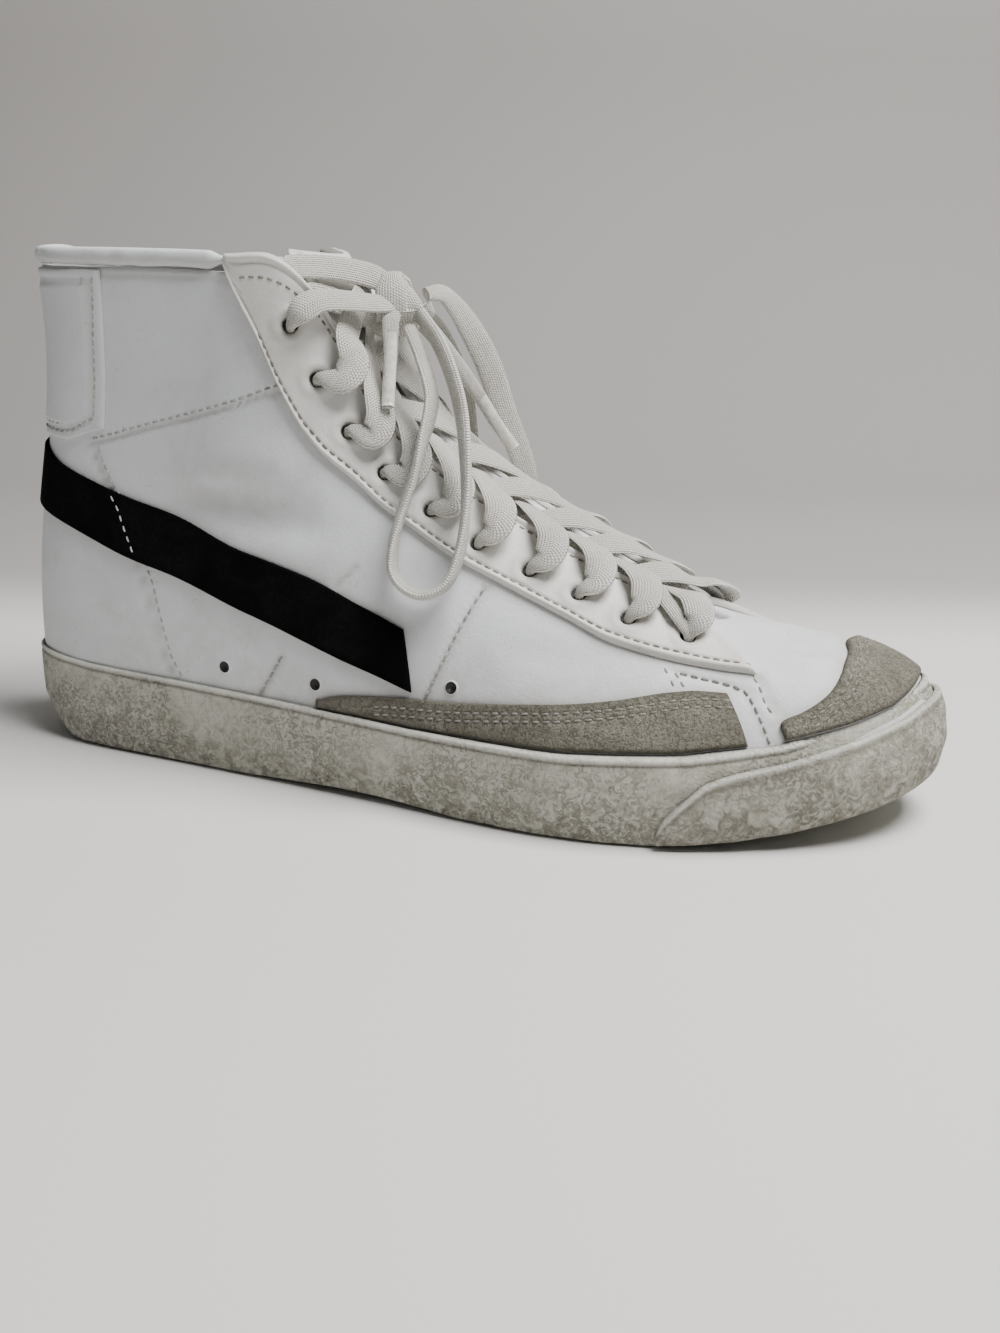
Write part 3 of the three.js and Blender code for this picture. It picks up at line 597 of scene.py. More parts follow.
def build_vents():
    """Small punched vents: a pressed leather lip round a floor painted near black as the shade inside the
    hole.
    """
    verts, faces, hole = [], [], []
    sides = 28
    a = np.linspace(0, 2 * np.pi, sides, endpoint=False)
    # radius and height of the lip, round its section
    profile = [
        (2.4, -0.4), (2.3, 0.1), (1.95, 0.3), (1.75, 0.28),
        (1.65, 0.12), (0.02, 0.1), (0.02, -0.6), (2.3, -0.6),
    ]
    for s, v in VENTS:
        for at in (sided(s, side) for side in SIDES):
            centre = last(np.array(at), np.array(v))
            out = normal(np.array(at), np.array(v))
            side = unit(np.cross(UP, out))
            up = np.cross(out, side)
            start = len(verts)
            for radius, lift in profile:
                for angle in a:
                    spoke = math.cos(angle) * side + math.sin(angle) * up
                    verts.append(centre + spoke * radius + out * lift)
                    # painted shade: the floor inside the lip is painted near black
                    hole.append(1.0 if radius < 1.8 else 0.0)
            ring_ = turned_out(np.array(verts[start:]), quads(len(profile), sides, ring_i=True, ring_j=True))
            faces += [[k + start for k in f] for f in ring_]
    make_mesh("vent_lips", np.array(verts), faces, WHITE, paint={"hole": hole})


build_vents()


# ---------------------------------------------------------------------------------------------
# Collar binding: a soft roll of the same white leather, turned over the top edge of the opening and sewn
# down. It runs round the back of the ankle from one eyestay to the other.
# ---------------------------------------------------------------------------------------------
COLLAR_END = 5.95  # where the binding meets the eyestays


def closed_tube(rows):
    """Vertices and faces of a tube through rings of points, with a flat cap at each end."""
    n, sides = rows.shape[:2]
    verts = rows.reshape(-1, 3)
    around = quads(n, sides, ring_j=True)
    caps = [np.arange(sides)[::-1], (n - 1) * sides + np.arange(sides)]
    faces = [list(f) for f in around] + [list(c) for c in caps]
    if turned_out(verts, around) is not around:
        faces = [f[::-1] for f in faces]
    return verts, faces


def build_roll():
    """A padded tube round the collar, slightly pinched along its length."""
    n, sides = 260, 20
    s = np.linspace(-COLLAR_END, COLLAR_END, n)
    low = 1 - COLLAR_ROLL_V + 0.004
    middle, half = (low + 1.004) / 2, (1.004 - low) / 2
    a = np.linspace(0, 2 * np.pi, sides, endpoint=False)
    pinch = 0.06 * np.sin(s * 9 + 2 * np.sin(s * 3.1))[:, None]
    v = np.minimum(1, middle + half * np.sin(a)[None] * (1 - pinch))
    h = -1.1 + (2.3 + pinch * 3) * np.cos(a)[None]
    # above the opening edge the tube rounds over by height rather than by v
    points = bare(np.broadcast_to(s[:, None], v.shape), v, h)
    points[..., 2] += (0.7 * np.clip(np.sin(a), 0, 1) ** 2)[None]
    # both ends shrink and tuck in behind the eyestays' corners
    centre = points.mean(1, keepdims=True)
    tuck = smooth(COLLAR_END, 5.6, np.abs(s))[:, None, None]
    points = centre + (points - centre) * (0.35 + 0.65 * tuck)
    verts, faces = closed_tube(points)
    # painted shade: the binding is painted darker from its top down to its underside
    soil = np.clip(0.25 - 0.5 * np.sin(a), 0, 0.4)[None] * np.ones((n, 1))
    roll = make_mesh("collar_binding", verts, faces, WHITE, paint={"soil": soil})
    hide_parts("collar_roll")


build_roll()


# ---------------------------------------------------------------------------------------------
# Eyestays: a strip of cream leather on each side of the throat, its edge folded under and sewn over the
# upper. The eyelets are punched straight through and have no rings, so the leather sinks round each.
# ---------------------------------------------------------------------------------------------
LAY = 0.5  # height of an overlay's underside above the upper
OVERLAY = 1.3  # thickness of an overlay
EYESTAY_SPAN = (5.98, 15.78)  # where an eyestay starts and ends along s


def edge_steps(n, rim=(0, 0.004, 0.012, 0.024, 0.04)):
    """Steps from 0 to 1 that crowd towards both ends, where a piece rounds over."""
    rim = np.array(rim)
    return np.concatenate([rim, np.linspace(rim[-1], 1 - rim[-1], n)[1:-1], 1 - rim[::-1]])


def rounded(distance, radius):
    """0 at an edge, 1 once radius away from it, on a quarter circle."""
    t = np.clip(distance / radius, 0, 1)
    return np.sqrt(1 - (1 - t) ** 2)


def grid_reach(points):
    """Distance in millimetres of each grid point to the nearest of the four edges of its patch."""
    du = np.linalg.norm(np.diff(points, axis=0), axis=-1)
    dv = np.linalg.norm(np.diff(points, axis=1), axis=-1)
    u = np.concatenate([np.zeros((1, points.shape[1])), np.cumsum(du, 0)])
    v = np.concatenate([np.zeros((points.shape[0], 1)), np.cumsum(dv, 1)], 1)
    return u, u[-1:] - u, v, v[:, -1:] - v


def table(pairs):
    """A smooth line through pairs of place and value, never past them."""
    x, y = np.array(pairs, float).T
    slope = np.diff(y) / np.diff(x)
    before, after = slope[:-1], slope[1:]
    both = np.where(before * after > 0, before + after, 1)
    inside = np.where(before * after > 0, 2 * before * after / both, 0)
    slopes = np.concatenate([slope[:1], inside, slope[-1:]])

    def at(s):
        s = np.clip(s, x[0], x[-1])
        i = np.clip(np.searchsorted(x, s) - 1, 0, len(x) - 2)
        width = x[i + 1] - x[i]
        t = (s - x[i]) / width
        start = (2 * t**3 - 3 * t**2 + 1) * y[i] + (t**3 - 2 * t**2 + t) * width * slopes[i]
        return start + (3 * t**2 - 2 * t**3) * y[i + 1] + (t**3 - t**2) * width * slopes[i + 1]

    return at


def overlay(
    name, span, ns, low, high, nv, material,
    side=1, h0=LAY, thick=OVERLAY, radius=1.2, extra=None, masks=None,
):
    """A leather or suede piece laid over the last, its four edges rounded down. side -1 mirrors it."""
    s = span[0] + (span[1] - span[0]) * edge_steps(ns)
    t = edge_steps(nv)
    lo, hi = low(s), high(s)
    v = lo[:, None] + (hi - lo)[:, None] * t[None]
    s = np.broadcast_to(s[:, None], v.shape)
    at = sided(s, side)
    base_points = last(at, v)
    edges = grid_reach(base_points)
    reach = np.min(edges, axis=0)
    top = np.minimum(np.minimum(edges[0], edges[1]), edges[3])
    h = h0 - 0.2 + (thick + 0.2) * (0.2 + 0.8 * rounded(reach, radius))
    if extra is not None:
        h = h + extra(reach, s, v, top)
    paint = masks(reach, s, v) if masks else None
    return shell(name, last(at, v, h), last(at, v, h0 - 0.3), material, paint=paint)


CREAM = leather("cream_leather", rgb(0.79, 0.785, 0.765), rgb(0.73, 0.72, 0.69), rgb(0.40, 0.365, 0.30), 0.5)

# The eyelets of one side from the top down, as (s, v).
EYELETS = [
    [7.5, 0.885], [8.24, 0.818], [9.11, 0.782], [10.07, 0.8], [11, 0.81], [11.75, 0.797], [12.53, 0.801],
    [13.24, 0.799], [13.93, 0.775], [14.93, 0.779],
]


def fold(reach):
    """A folded edge: a soft ridge just inside the rim, then the stitch line's groove."""
    return 0.55 * hump(reach, 1.3, 0.9) - 0.35 * hump(reach, 3.1, 0.5)


def eyelet_gap(s, v, side):
    """Millimetres from each point to the nearest eyelet."""
    at = sided(s, side)
    points = bare(at, v)
    gap = np.full(v.shape, 1e9)
    for a, b in EYELETS:
        c = bare(np.array(sided(a, side)), np.array(b))
        gap = np.minimum(gap, np.linalg.norm(points - c, axis=-1))
    return gap


def build_eyestay(word, side):
    """Leather pulled in round each eyelet, with a folded edge. Its stitch groove is darkened partly by dirt
    and partly by painted shade, its rim by dirt, each eyelet is painted near black as the shade inside the
    hole, and the dip round it is painted darker as shade.
    """

    def extra(reach, s, v, top):
        gap = eyelet_gap(s, v, side)
        pull = 0.5 * hump(gap, 4.2, 1.5) - 1.3 * smooth(2.7, 1.9, gap)
        return fold(reach) + pull

    def masks(reach, s, v):
        gap = eyelet_gap(s, v, side)
        # painted shade in the stitch groove and in the dip round each eyelet, with dirt along the groove and
        # the rim
        groove = hump(reach, 3.1, 0.7) + hump(reach, 0, 0.9)
        return {"hole": smooth(2.6, 2.1, gap), "soil": 0.3 * groove + 0.35 * hump(gap, 3, 1.5)}

    stay = overlay(
        "eyestay_leather_" + word, EYESTAY_SPAN, 300, table(EYESTAY_LINE), np.ones_like, 60,
        CREAM, side=side, radius=1.1, extra=extra, masks=masks,
    )
    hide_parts("eyestay_" + word)


for side, word in SIDES.items():
    build_eyestay(word, side)


# ---------------------------------------------------------------------------------------------
# Suede overlays: a grey panel and a plain black band on each side, and a grey cap over the toe. Each is
# cut flat, thinned at its edge and sewn on, and the edges are rubbed and dirty from wear.
# ---------------------------------------------------------------------------------------------
BAND_THICK = 0.9  # the bands are thinner than the other overlays
STITCH_ROWS = (3.0, 5.4)  # distances of a double row from its edge

# Where the panels and bands start and end along s, and where the cap starts.
PANEL_SPAN = (7.75, 15.1)
BAND_SPAN = (0.15, 9.9)
CAP_START = 15.64

# Upper edge of the tape: x along the shoe, and height.
TAPE_TOP = np.array([
    [-150, 31], [-120, 28.5], [-60, 27], [0, 25], [50, 25], [85, 26.8], [110, 30], [130, 34.8], [142, 38.5],
    [150, 42.5],
])


def tape_top(x):
    """Height of the tape's upper edge at a place along the shoe."""
    return np.interp(x, TAPE_TOP[:, 0], TAPE_TOP[:, 1])


def height_to_v(s, z, h=0.0):
    """The share of the wall at which it reaches height z."""
    low = np.zeros_like(s, float)
    high = np.ones_like(s, float)
    for _ in range(18):
        middle = (low + high) / 2
        below = bare(s, middle, h)[..., 2] < z
        low = np.where(below, middle, low)
        high = np.where(below, high, middle)
    return (low + high) / 2


def mirrored(f):
    """A line along the outer side, carried over to the inner side too."""
    return lambda s: f(np.minimum(s, TURN - s))


def build_nap(t, i):
    """Suede nap: matted patches and short fibres."""
    fibre = t.noise(i["Where"], 1500.0, 2.0, 0.8, 0.4)
    mat = t.noise(i["Where"], 640.0, 3.0, 0.75, 0.9)
    patch = t.noise(i["Where"], 55.0, 6.0, 0.6, 0.7)
    height = t.plus(t.times(fibre, 0.5), mat)
    return {"Height": height, "Patch": patch, "Fibre": t.times(t.plus(fibre, mat), 0.5)}


NAP = group("suede_nap", ["Where"], ["Height", "Patch", "Fibre"], build_nap)


def suede(name, dark, light, soot, bump, sheen):
    """Napped suede, matted and dirty."""

    def build(t, where):
        nap = use(t, NAP, {"Where": where})
        grime = use(t, GRIME, {"Where": where})
        colour = t.mix(t.remap(nap["Patch"], 0.34, 0.68), dark, light)
        colour = t.mix(t.remap(nap["Fibre"], 0.4, 0.58), t.mix(0.7, colour, soot), colour)
        colour = t.mix(t.times(grime["Soil"], 0.3), colour, soot)
        colour = t.mix(painted(t, "soil"), colour, soot)
        return {
            "Base Color": colour, "Roughness": 0.95, "Specular IOR Level": 0.05, "Sheen Weight": sheen,
            "Sheen Roughness": 0.6, "Height": nap["Height"], "Bump": bump,
        }

    return material(name, build)


GREY_SUEDE = suede(
    "grey_suede", rgb(0.225, 0.21, 0.172), rgb(0.335, 0.316, 0.265), rgb(0.075, 0.068, 0.052), 0.001, 0.05,
)
BLACK_SUEDE = suede(
    "black_suede", rgb(0.003, 0.003, 0.0035), rgb(0.008, 0.008, 0.009), rgb(0.002, 0.002, 0.002), 0.0003, 0.0,
)


def above_tape(s, side=1):
    """The share of the wall just above the tape."""
    at = sided(s, side)
    return height_to_v(at, tape_top(closed_curve(SOLE_EDGE, at)[..., 0]) + GAP + 0.2, GAP)


def worn_edge(reach, s, v):
    """Soil along the rim of a piece."""
    return {"soil": 0.6 * hump(reach, 0, 1.3)}


def pressed_rows(reach, s, v, top):
    """Two stitch lines pressed in below the top edge."""
    return sum(-0.3 * hump(top, row, 0.6) for row in STITCH_ROWS)


def build_side_panel(word, side):
    """Grey suede from the tape up to a sloping edge, and never thinner than a sliver."""
    top = table(SIDE_LINE)
    low = lambda s: above_tape(s, side)
    high = lambda s: np.maximum(top(s), low(s) + 0.02)
    panel = overlay(
        "side_suede_" + word, PANEL_SPAN, 230, low, high, 44, GREY_SUEDE,
        side=side, radius=1.0, extra=pressed_rows, masks=worn_edge,
    )
    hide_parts("side_panel_" + word)


for side, word in SIDES.items():
    build_side_panel(word, side)


def build_band(word, side):
    """A plain black suede band from the back of the heel forwards."""
    band = overlay(
        "band_suede_" + word, BAND_SPAN, 220, table(BAND_LOW), table(BAND_TOP), 26,
        BLACK_SUEDE, side=side, thick=BAND_THICK, radius=0.8, masks=worn_edge,
    )
    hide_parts("side_band_" + word)


for side, word in SIDES.items():
    build_band(word, side)


def build_toe_cap():
    """Grey suede over the toe, from the tape up."""
    cap = overlay(
        "toe_cap_suede", (CAP_START, TURN - CAP_START), 260, above_tape, mirrored(table(CAP_LINE)), 60,
        GREY_SUEDE, radius=1.0, extra=pressed_rows, masks=worn_edge,
    )
    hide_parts("toe_cap")


build_toe_cap()


# ---------------------------------------------------------------------------------------------
# Heel tab: white leather over the back seam, padded inside a sewn border and left bare. Its top goes up
# to the collar binding.
# ---------------------------------------------------------------------------------------------
TAB_HALF = 3.75  # half the tab's width, along s


def build_heel_tab():
    """A bare leather tab, raised inside its stitched border."""
    low = lambda s: 0.606 + 0.03 * smooth(3.0, TAB_HALF, np.abs(s))
    high = lambda s: np.full_like(s, 1 - COLLAR_ROLL_V - 0.003)

    def extra(reach, s, v, top):
        inside = smooth(4.6, 5.4, reach)
        return 0.55 * inside - 0.35 * hump(reach, 3.1, 0.6)

    def masks(reach, s, v):
        # painted shade at the foot of the padded rise, and dirt along the rim
        return {"soil": 0.3 * hump(reach, 4.5, 0.7) + 0.3 * hump(reach, 0, 1.2)}

    tab = overlay(
        "heel_tab_leather", (-TAB_HALF, TAB_HALF), 160, low, high, 60, WHITE,
        h0=0.35, thick=0.85, radius=0.9, extra=extra, masks=masks,
    )
    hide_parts("heel_tab")


build_heel_tab()


# ---------------------------------------------------------------------------------------------
# Sole: a tape of off-white rubber with a rim along its top, wrapped round the foot of the upper and fused
# to a patterned tread. A thicker bumper strip goes over it round the toe. Inside lies a loose foam sock
# with a cloth face.
# ---------------------------------------------------------------------------------------------
TAPE_FOOT = 1.7  # how far the tape turns in under the shoe
FOXING_LIFT = 0.9  # height of the tape's foot above the ground line
TREAD = 4.2  # thickness of the tread
BUMPER_START = 13.76  # place along s


def build_crackle(t, i):
    """Rubber wear: a crackle of short worm-like scuffs."""
    worm = t.noise(i["Where"], 430.0, 2.5, 0.6, 1.6)
    fine = t.noise(i["Where"], 950.0, 3.0, 0.7, 1.0)
    area = t.remap(t.noise(i["Where"], 42.0, 4.0, 0.6), 0.34, 0.6, 0.25, 1.0)
    crack = t.plus(t.remap(worm, 0.47, 0.4), t.times(t.remap(fine, 0.46, 0.38), 0.5), clamp=True)
    scrape = t.remap(worm, 0.53, 0.58)
    return {"Crack": t.times(crack, area), "Scrape": t.times(scrape, area)}


CRACKLE = group("rubber_crackle", ["Where"], ["Crack", "Scrape"], build_crackle)


def build_rubber(t, where):
    """Off-white rubber, crackled and scraped, darkest with dirt where the mask says low, with a painted
    highlight on its rims and painted shade in its grooves.
    """
    crackle = use(t, CRACKLE, {"Where": where})
    grime = use(t, GRIME, {"Where": where})
    low = painted(t, "low")
    rim = painted(t, "rim")
    tone = t.remap(t.noise(where, 95.0, 6.0, 0.65), 0.3, 0.7)
    colour = t.mix(tone, rgb(0.46, 0.46, 0.385), rgb(0.60, 0.60, 0.52))
    dirt = t.times(t.remap(t.noise(where, 260.0, 6.0, 0.7, 1.0), 0.34, 0.64), low)
    colour = t.mix(dirt, colour, rgb(0.175, 0.16, 0.125))
    colour = t.mix(t.times(crackle["Crack"], 0.7), colour, rgb(0.23, 0.21, 0.165))
    colour = t.mix(t.times(crackle["Scrape"], 0.4), colour, rgb(0.68, 0.67, 0.60))
    colour = t.mix(t.times(grime["Scuff"], 0.5), colour, rgb(0.12, 0.1, 0.08))
    # painted highlight: the raised rims are painted bright where light catches them
    colour = t.mix(rim, colour, rgb(0.80, 0.785, 0.73))
    # the painted mask darkens with dirt and with painted shade in grooves
    colour = t.mix(painted(t, "soil"), colour, rgb(0.10, 0.082, 0.065))
    wear = t.plus(t.times(crackle["Crack"], -0.7), t.times(crackle["Scrape"], 0.6))
    height = t.plus(wear, t.noise(where, 520.0, 4.0, 0.7))
    return {
        "Base Color": colour, "Roughness": 0.72, "Specular IOR Level": 0.3, "Height": height, "Bump": 0.00035,
    }


RUBBER = material("sole_rubber", build_rubber)


def build_cloth(t, where):
    """Grey-beige cloth, faded in patches."""
    weave = t.noise(where, 1300.0, 2.0)
    colour = t.mix(t.remap(t.noise(where, 60.0, 6.0), 0.3, 0.7), rgb(0.32, 0.30, 0.27), rgb(0.44, 0.42, 0.38))
    return {"Base Color": colour, "Roughness": 0.95, "Height": weave, "Bump": 0.0003}


CLOTH = material("insole_cloth", build_cloth)

# Upper edge of the bumper: s, and share of the tape's height.
BUMPER_LINE = [
    [13.75, 0.08], [13.82, 0.28], [14.11, 0.53], [14.43, 0.73], [14.83, 0.8], [15.43, 0.83], [17.2, 0.86],
    [19, 0.87],
]


def inset(s, d):
    """Points d millimetres inside the edge of the sole."""
    return closed_curve(SOLE_EDGE, s) - outward(s) * np.asarray(d, float)[..., None]


def heelward(s):
    """0 along the shoe, rising to 1 at the very heel."""
    return smooth(-120, -145, closed_curve(SOLE_EDGE, s)[..., 0])


def toeward(s):
    """0 along the shoe, rising to 1 at the toe."""
    return smooth(85, 146, closed_curve(SOLE_EDGE, s)[..., 0])


def foot_inset(s):
    """How far the foot of the tape lies inside the edge of the sole."""
    return 1.6 + 3.6 * heelward(s) + 3.4 * toeward(s)


TAPE_SHARES = np.array([0, 0.12, 0.4, 0.7, 0.95, 1])


def tape_face(s, share, h=0.0):
    """A point of the tape's outer face, share from its foot to its top, h off it."""

    def at(share):
        x = closed_curve(SOLE_EDGE, s)[..., 0]
        heel, toe = heelward(s), toeward(s)
        depths = np.stack([
            foot_inset(s), 0.8 + 2.6 * heel + 2.3 * toe, 0.8 * heel + 1.6 * toe, 0.2 + 2.6 * toe,
            0.8 - 0.6 * heel + 5 * toe, 1.3 - 0.7 * heel + 5.6 * toe,
        ], -1)
        where = np.clip(np.interp(share, TAPE_SHARES, np.arange(6)), 0, 4.9999)
        k = where.astype(int)
        w = where - k
        low = np.take_along_axis(depths, k[..., None], -1)[..., 0]
        high = np.take_along_axis(depths, k[..., None] + 1, -1)[..., 0]
        p = inset(s, low * (1 - w) + high * w)
        p[..., 2] = base(x) + FOXING_LIFT + (tape_top(x) - base(x) - FOXING_LIFT) * share
        return p

    s, share = spread(s, share)
    p = at(share)
    up = at(np.minimum(1, share + 0.04)) - at(np.maximum(0, share - 0.04))
    along = closed_curve(SOLE_EDGE, s + 0.1) - closed_curve(SOLE_EDGE, s - 0.1)
    return p + unit(np.cross(along, up)) * np.asarray(h, float)[..., None]


def wobble(points, size):
    """Low, uneven waves in worn rubber."""
    x, y, z = points[..., 0], points[..., 1], points[..., 2]
    broad = np.sin(x / 5.3 + 1.7 * np.sin(y / 7)) * np.sin(z / 3.1 + x / 11)
    return size * (broad + 0.5 * np.sin(x / 2.3 + z / 1.9))


def build_tray():
    """The rubber tape with a rim along its top, a ledge behind it, and the floor inside it."""
    ns = 620
    s = np.linspace(0, TURN, ns, endpoint=False)
    x = closed_curve(SOLE_EDGE, s)[:, 0]
    shares = np.concatenate([np.linspace(0, 0.86, 26), np.linspace(0.88, 1, 10)])
    grid_s, grid_t = np.meshgrid(s, shares, indexing="ij")
    face = tape_face(grid_s, grid_t)
    rim_height = (tape_top(x) - base(x))[:, None] * (1 - grid_t)
    rim = hump(rim_height, 0.5, 0.75)
    line = hump(rim_height, 1.9, 0.55)
    face = tape_face(grid_s, grid_t, 0.35 * rim - 0.3 * line + wobble(face, 0.09))
    v_top = height_to_v(s, tape_top(x), GAP)

    def foot_ring(depth, z):
        p = inset(s, foot_inset(s) + depth)
        p[:, 2] = z(p[:, 0])
        return p

    rings = [foot_ring(TAPE_FOOT, lambda q, lift=lift: base(q) + lift) for lift in (TREAD + GAP, FOXING_LIFT)]
    rings += [face[:, k] for k in range(len(shares))]
    rings += [bare(s, v_top * t, GAP * 1.5) for t in (1.0, 0.9, 0.5)]
    floor = bare(s, 0 * s, GAP * 1.5)
    floor[:, 2] = floor_top(floor[:, 0])
    rings.append(floor)
    grid = np.stack(rings)
    m, n = grid.shape[:2]
    faces = [list(f) for f in quads(m, n, ring_j=True)]
    # strips from side to side close the first and the last ring
    for row, flip in ((0, True), (m - 1, False)):
        for i in range(n // 2 - 1):
            q = [row * n + k for k in (i, i + 1, (n - i - 1) % n, (n - i) % n)]
            q = q if i else q[:3]
            faces.append(q[::-1] if flip else q)
        q = [row * n + n // 2 + k for k in (-1, 0, 1)]
        faces.append(q[::-1] if flip else q)
    verts = grid.reshape(-1, 3)
    full = np.array([f if len(f) == 4 else f + [f[2]] for f in faces])
    if turned_out(verts, full) is not full:
        faces = [f[::-1] for f in faces]
    share_grid = np.concatenate([[0, 0], shares, [1, 1, 1, 1]])[:, None] * np.ones((1, n))
    masks = {"low": np.clip(1.05 - share_grid * 1.15, 0.12, 1)}
    masks["rim"], masks["soil"] = np.zeros((2, m, n))
    # painted highlight along the raised rim at the tape's top
    masks["rim"][2 : 2 + len(shares)] = 0.75 * rim.T
    # painted shade in the groove pressed in under the rim
    masks["soil"][2 : 2 + len(shares)] = 0.55 * line.T
    tray = make_mesh("sole_tape", verts, faces, RUBBER, paint=masks)
    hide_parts("sole_tray")


def build_bumper():
    """A second, thicker strip round the toe, with a raised lip along its top and ends."""
    ns, nv = 320, 26
    s = BUMPER_START + (TURN - 2 * BUMPER_START) * edge_steps(ns)
    t = edge_steps(nv)
    top = mirrored(table(BUMPER_LINE))(s)
    share = 0.04 + (top - 0.04)[:, None] * t[None]
    s = np.broadcast_to(s[:, None], share.shape)
    flat = tape_face(s, share)
    u0, u1, v0, v1 = grid_reach(flat)
    reach = np.minimum(np.minimum(u0, u1), np.minimum(v0, v1))
    ends = np.minimum(np.minimum(u0, u1), v1)
    ridge = hump(ends, 0.9, 0.7)
    h = LAY + 0.1 + (OVERLAY + 0.3) * (0.2 + 0.8 * rounded(reach, 1.2)) + 0.3 * ridge + wobble(flat, 0.12)
    masks = {
        "low": np.clip(1.1 - t * 0.6, 0.5, 1)[None] * np.ones(share.shape),
        # painted highlight along the bumper's lip
        "rim": 0.8 * ridge,
        # painted colour: an even 0.14 of dirt, painted shade just inside the lip, and darker along the lower
        # edge
        "soil": 0.14 + 0.4 * hump(ends, 2.6, 0.9) + 0.4 * hump(v0, 0, 1.5),
    }
    outer = tape_face(s, share, h)
    inner = tape_face(s, share, LAY + 0.1)
    bumper = shell("toe_bumper_rubber", outer, inner, RUBBER, paint=masks)
    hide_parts("toe_bumper")


build_tray()
build_bumper()
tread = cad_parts["outsole"]
tread.data.materials.clear()
tread.data.materials.append(RUBBER)


def build_insole():
    """A flat padded sole inside, rounded down at its rim."""
    ns = 240
    s = np.linspace(0, TURN, ns, endpoint=False)
    x = closed_curve(SOLE_EDGE, s)[:, 0]
    v = height_to_v(s, floor_top(x) + GAP + 2.5)
    rim = bare(s, v, -UPPER_WALL - GAP - 0.8)
    middle = np.stack([rim[:, 0] * 0.97, 0 * rim[:, 1] + 1.0, rim[:, 2]], -1)
    rings = []
    for lift, spans in ((GAP, (0.02, 1.0)), (4.6, (1.0, 0.97, 0.85, 0.6, 0.3, 0.02))):
        for share in spans:
            p = middle + (rim - middle) * share
            edge = 0.6 * (share > 0.99) * (lift > 1)
            p[:, 2] = floor_top(p[:, 0]) + lift - edge
            rings.append(p)
    verts, faces = closed_tube(np.stack(rings))
    insole = make_mesh("insole_pad", verts, faces, CLOTH)
    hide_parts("insole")


build_insole()


# ---------------------------------------------------------------------------------------------
# Tongue: padded cream leather with a grey lining, fixed under the throat at its lower end and free above.
# A row of stitches crosses it under its rolled top edge.
# ---------------------------------------------------------------------------------------------
TONGUE = 4.6  # thickness of the tongue
TONGUE_LENGTH = 190


def smooth_path(points, n):
    """n points, evenly spaced, on a smooth curve through the given ones. Extra columns come along."""
    p = np.asarray(points, float)
    p = np.vstack([2 * p[0] - p[1], p, 2 * p[-1] - p[-2]])
    fine = []
    for k in range(1, len(p) - 2):
        w = np.linspace(0, 1, 24, endpoint=k == len(p) - 3)[:, None]
        p0, p1, p2, p3 = p[k - 1], p[k], p[k + 1], p[k + 2]
        m1, m2 = (p2 - p0) / 2, (p3 - p1) / 2
        limit = np.linalg.norm((p2 - p1)[:3]) * 1.2
        for m in (m1, m2):
            m *= min(1, limit / max(np.linalg.norm(m[:3]), 1e-9))
        fine.append(p1 + m1 * w + (3 * (p2 - p1) - 2 * m1 - m2) * w**2 + (2 * (p1 - p2) + m1 + m2) * w**3)
    fine = np.vstack(fine)
    run = run_length(fine[:, :3])
    t = np.linspace(0, run[-1], n)
    return np.stack([np.interp(t, run, fine[:, k]) for k in range(fine.shape[1])], -1)


THREAD_RADIUS = 0.36
THREAD_LIFT = 0.12  # how far the middle of a stitch is raised

# Places along a stitch, in stitch lengths: it dives into the piece at both ends.
THREAD_RINGS = (-0.5, -0.38, 0.0, 0.38, 0.5)


def stitch_row(points, normals, pitch=3.2, length=2.3):
    """Vertices and faces of a row of short thread stitches along points."""
    run = run_length(points)
    count = max(1, int(run[-1] / pitch))
    middles = (np.arange(count) + 0.5) * run[-1] / count
    at = lambda t, a: np.stack([np.interp(t, run, a[:, k]) for k in range(3)], -1)
    sides, rings = 5, THREAD_RINGS
    angle = np.linspace(0, 2 * np.pi, sides, endpoint=False)
    verts, faces = [], []
    for m in middles:
        n = unit(at(m, normals))
        tangent = unit(at(min(run[-1], m + 0.5), points) - at(max(0, m - 0.5), points))
        side = unit(np.cross(tangent, n))
        start = len(verts)
        for r in rings:
            rise = THREAD_LIFT * (1 - (2 * r) ** 2) - 0.32 * (2 * abs(r)) ** 4
            thin = 0.45 if abs(r) == 0.5 else 1.0
            c = at(m, points) + tangent * length * r + n * rise
            for a in angle:
                verts.append(c + THREAD_RADIUS * thin * (np.cos(a) * side + 0.8 * np.sin(a) * n))
        for k in range(len(rings) - 1):
            for a in range(sides):
                b = (a + 1) % sides
                near, far = start + k * sides, start + (k + 1) * sides
                faces.append([near + a, near + b, far + b, far + a])
        faces.append([start + a for a in range(sides)][::-1])
        faces.append([start + (len(rings) - 1) * sides + a for a in range(sides)])
    return verts, faces


def thread(name, colour, soiled):
    """Twisted thread, soiled in patches."""

    def build(t, where):
        share = t.remap(t.noise(where, 300.0, 4.0, 0.7), 0.35, 0.7)
        fibre = t.noise(where, 2600.0, 2.0)
        worn = t.mix(share, colour, soiled)
        return {"Base Color": worn, "Roughness": 0.85, "Height": fibre, "Bump": 0.0001}

    return material(name, build)


TAN_THREAD = thread("tan_thread", rgb(0.30, 0.275, 0.24), rgb(0.17, 0.15, 0.125))
TONGUE_UNDER = UPPER_WALL + 2.2

# Places down the throat where the tongue is laid out.
TONGUE_SECTIONS = [16.4, 15.6, 14.6, 13.6, 12.6, 11.6, 10.6, 9.8, 9.2]

# Rows of its free top: x and z of the middle, then x, half width and z at the sides.
TONGUE_TOP = [[-34.5, 149, -44.5, 17.5, 150], [-40, 158.5, -51, 17, 160]]


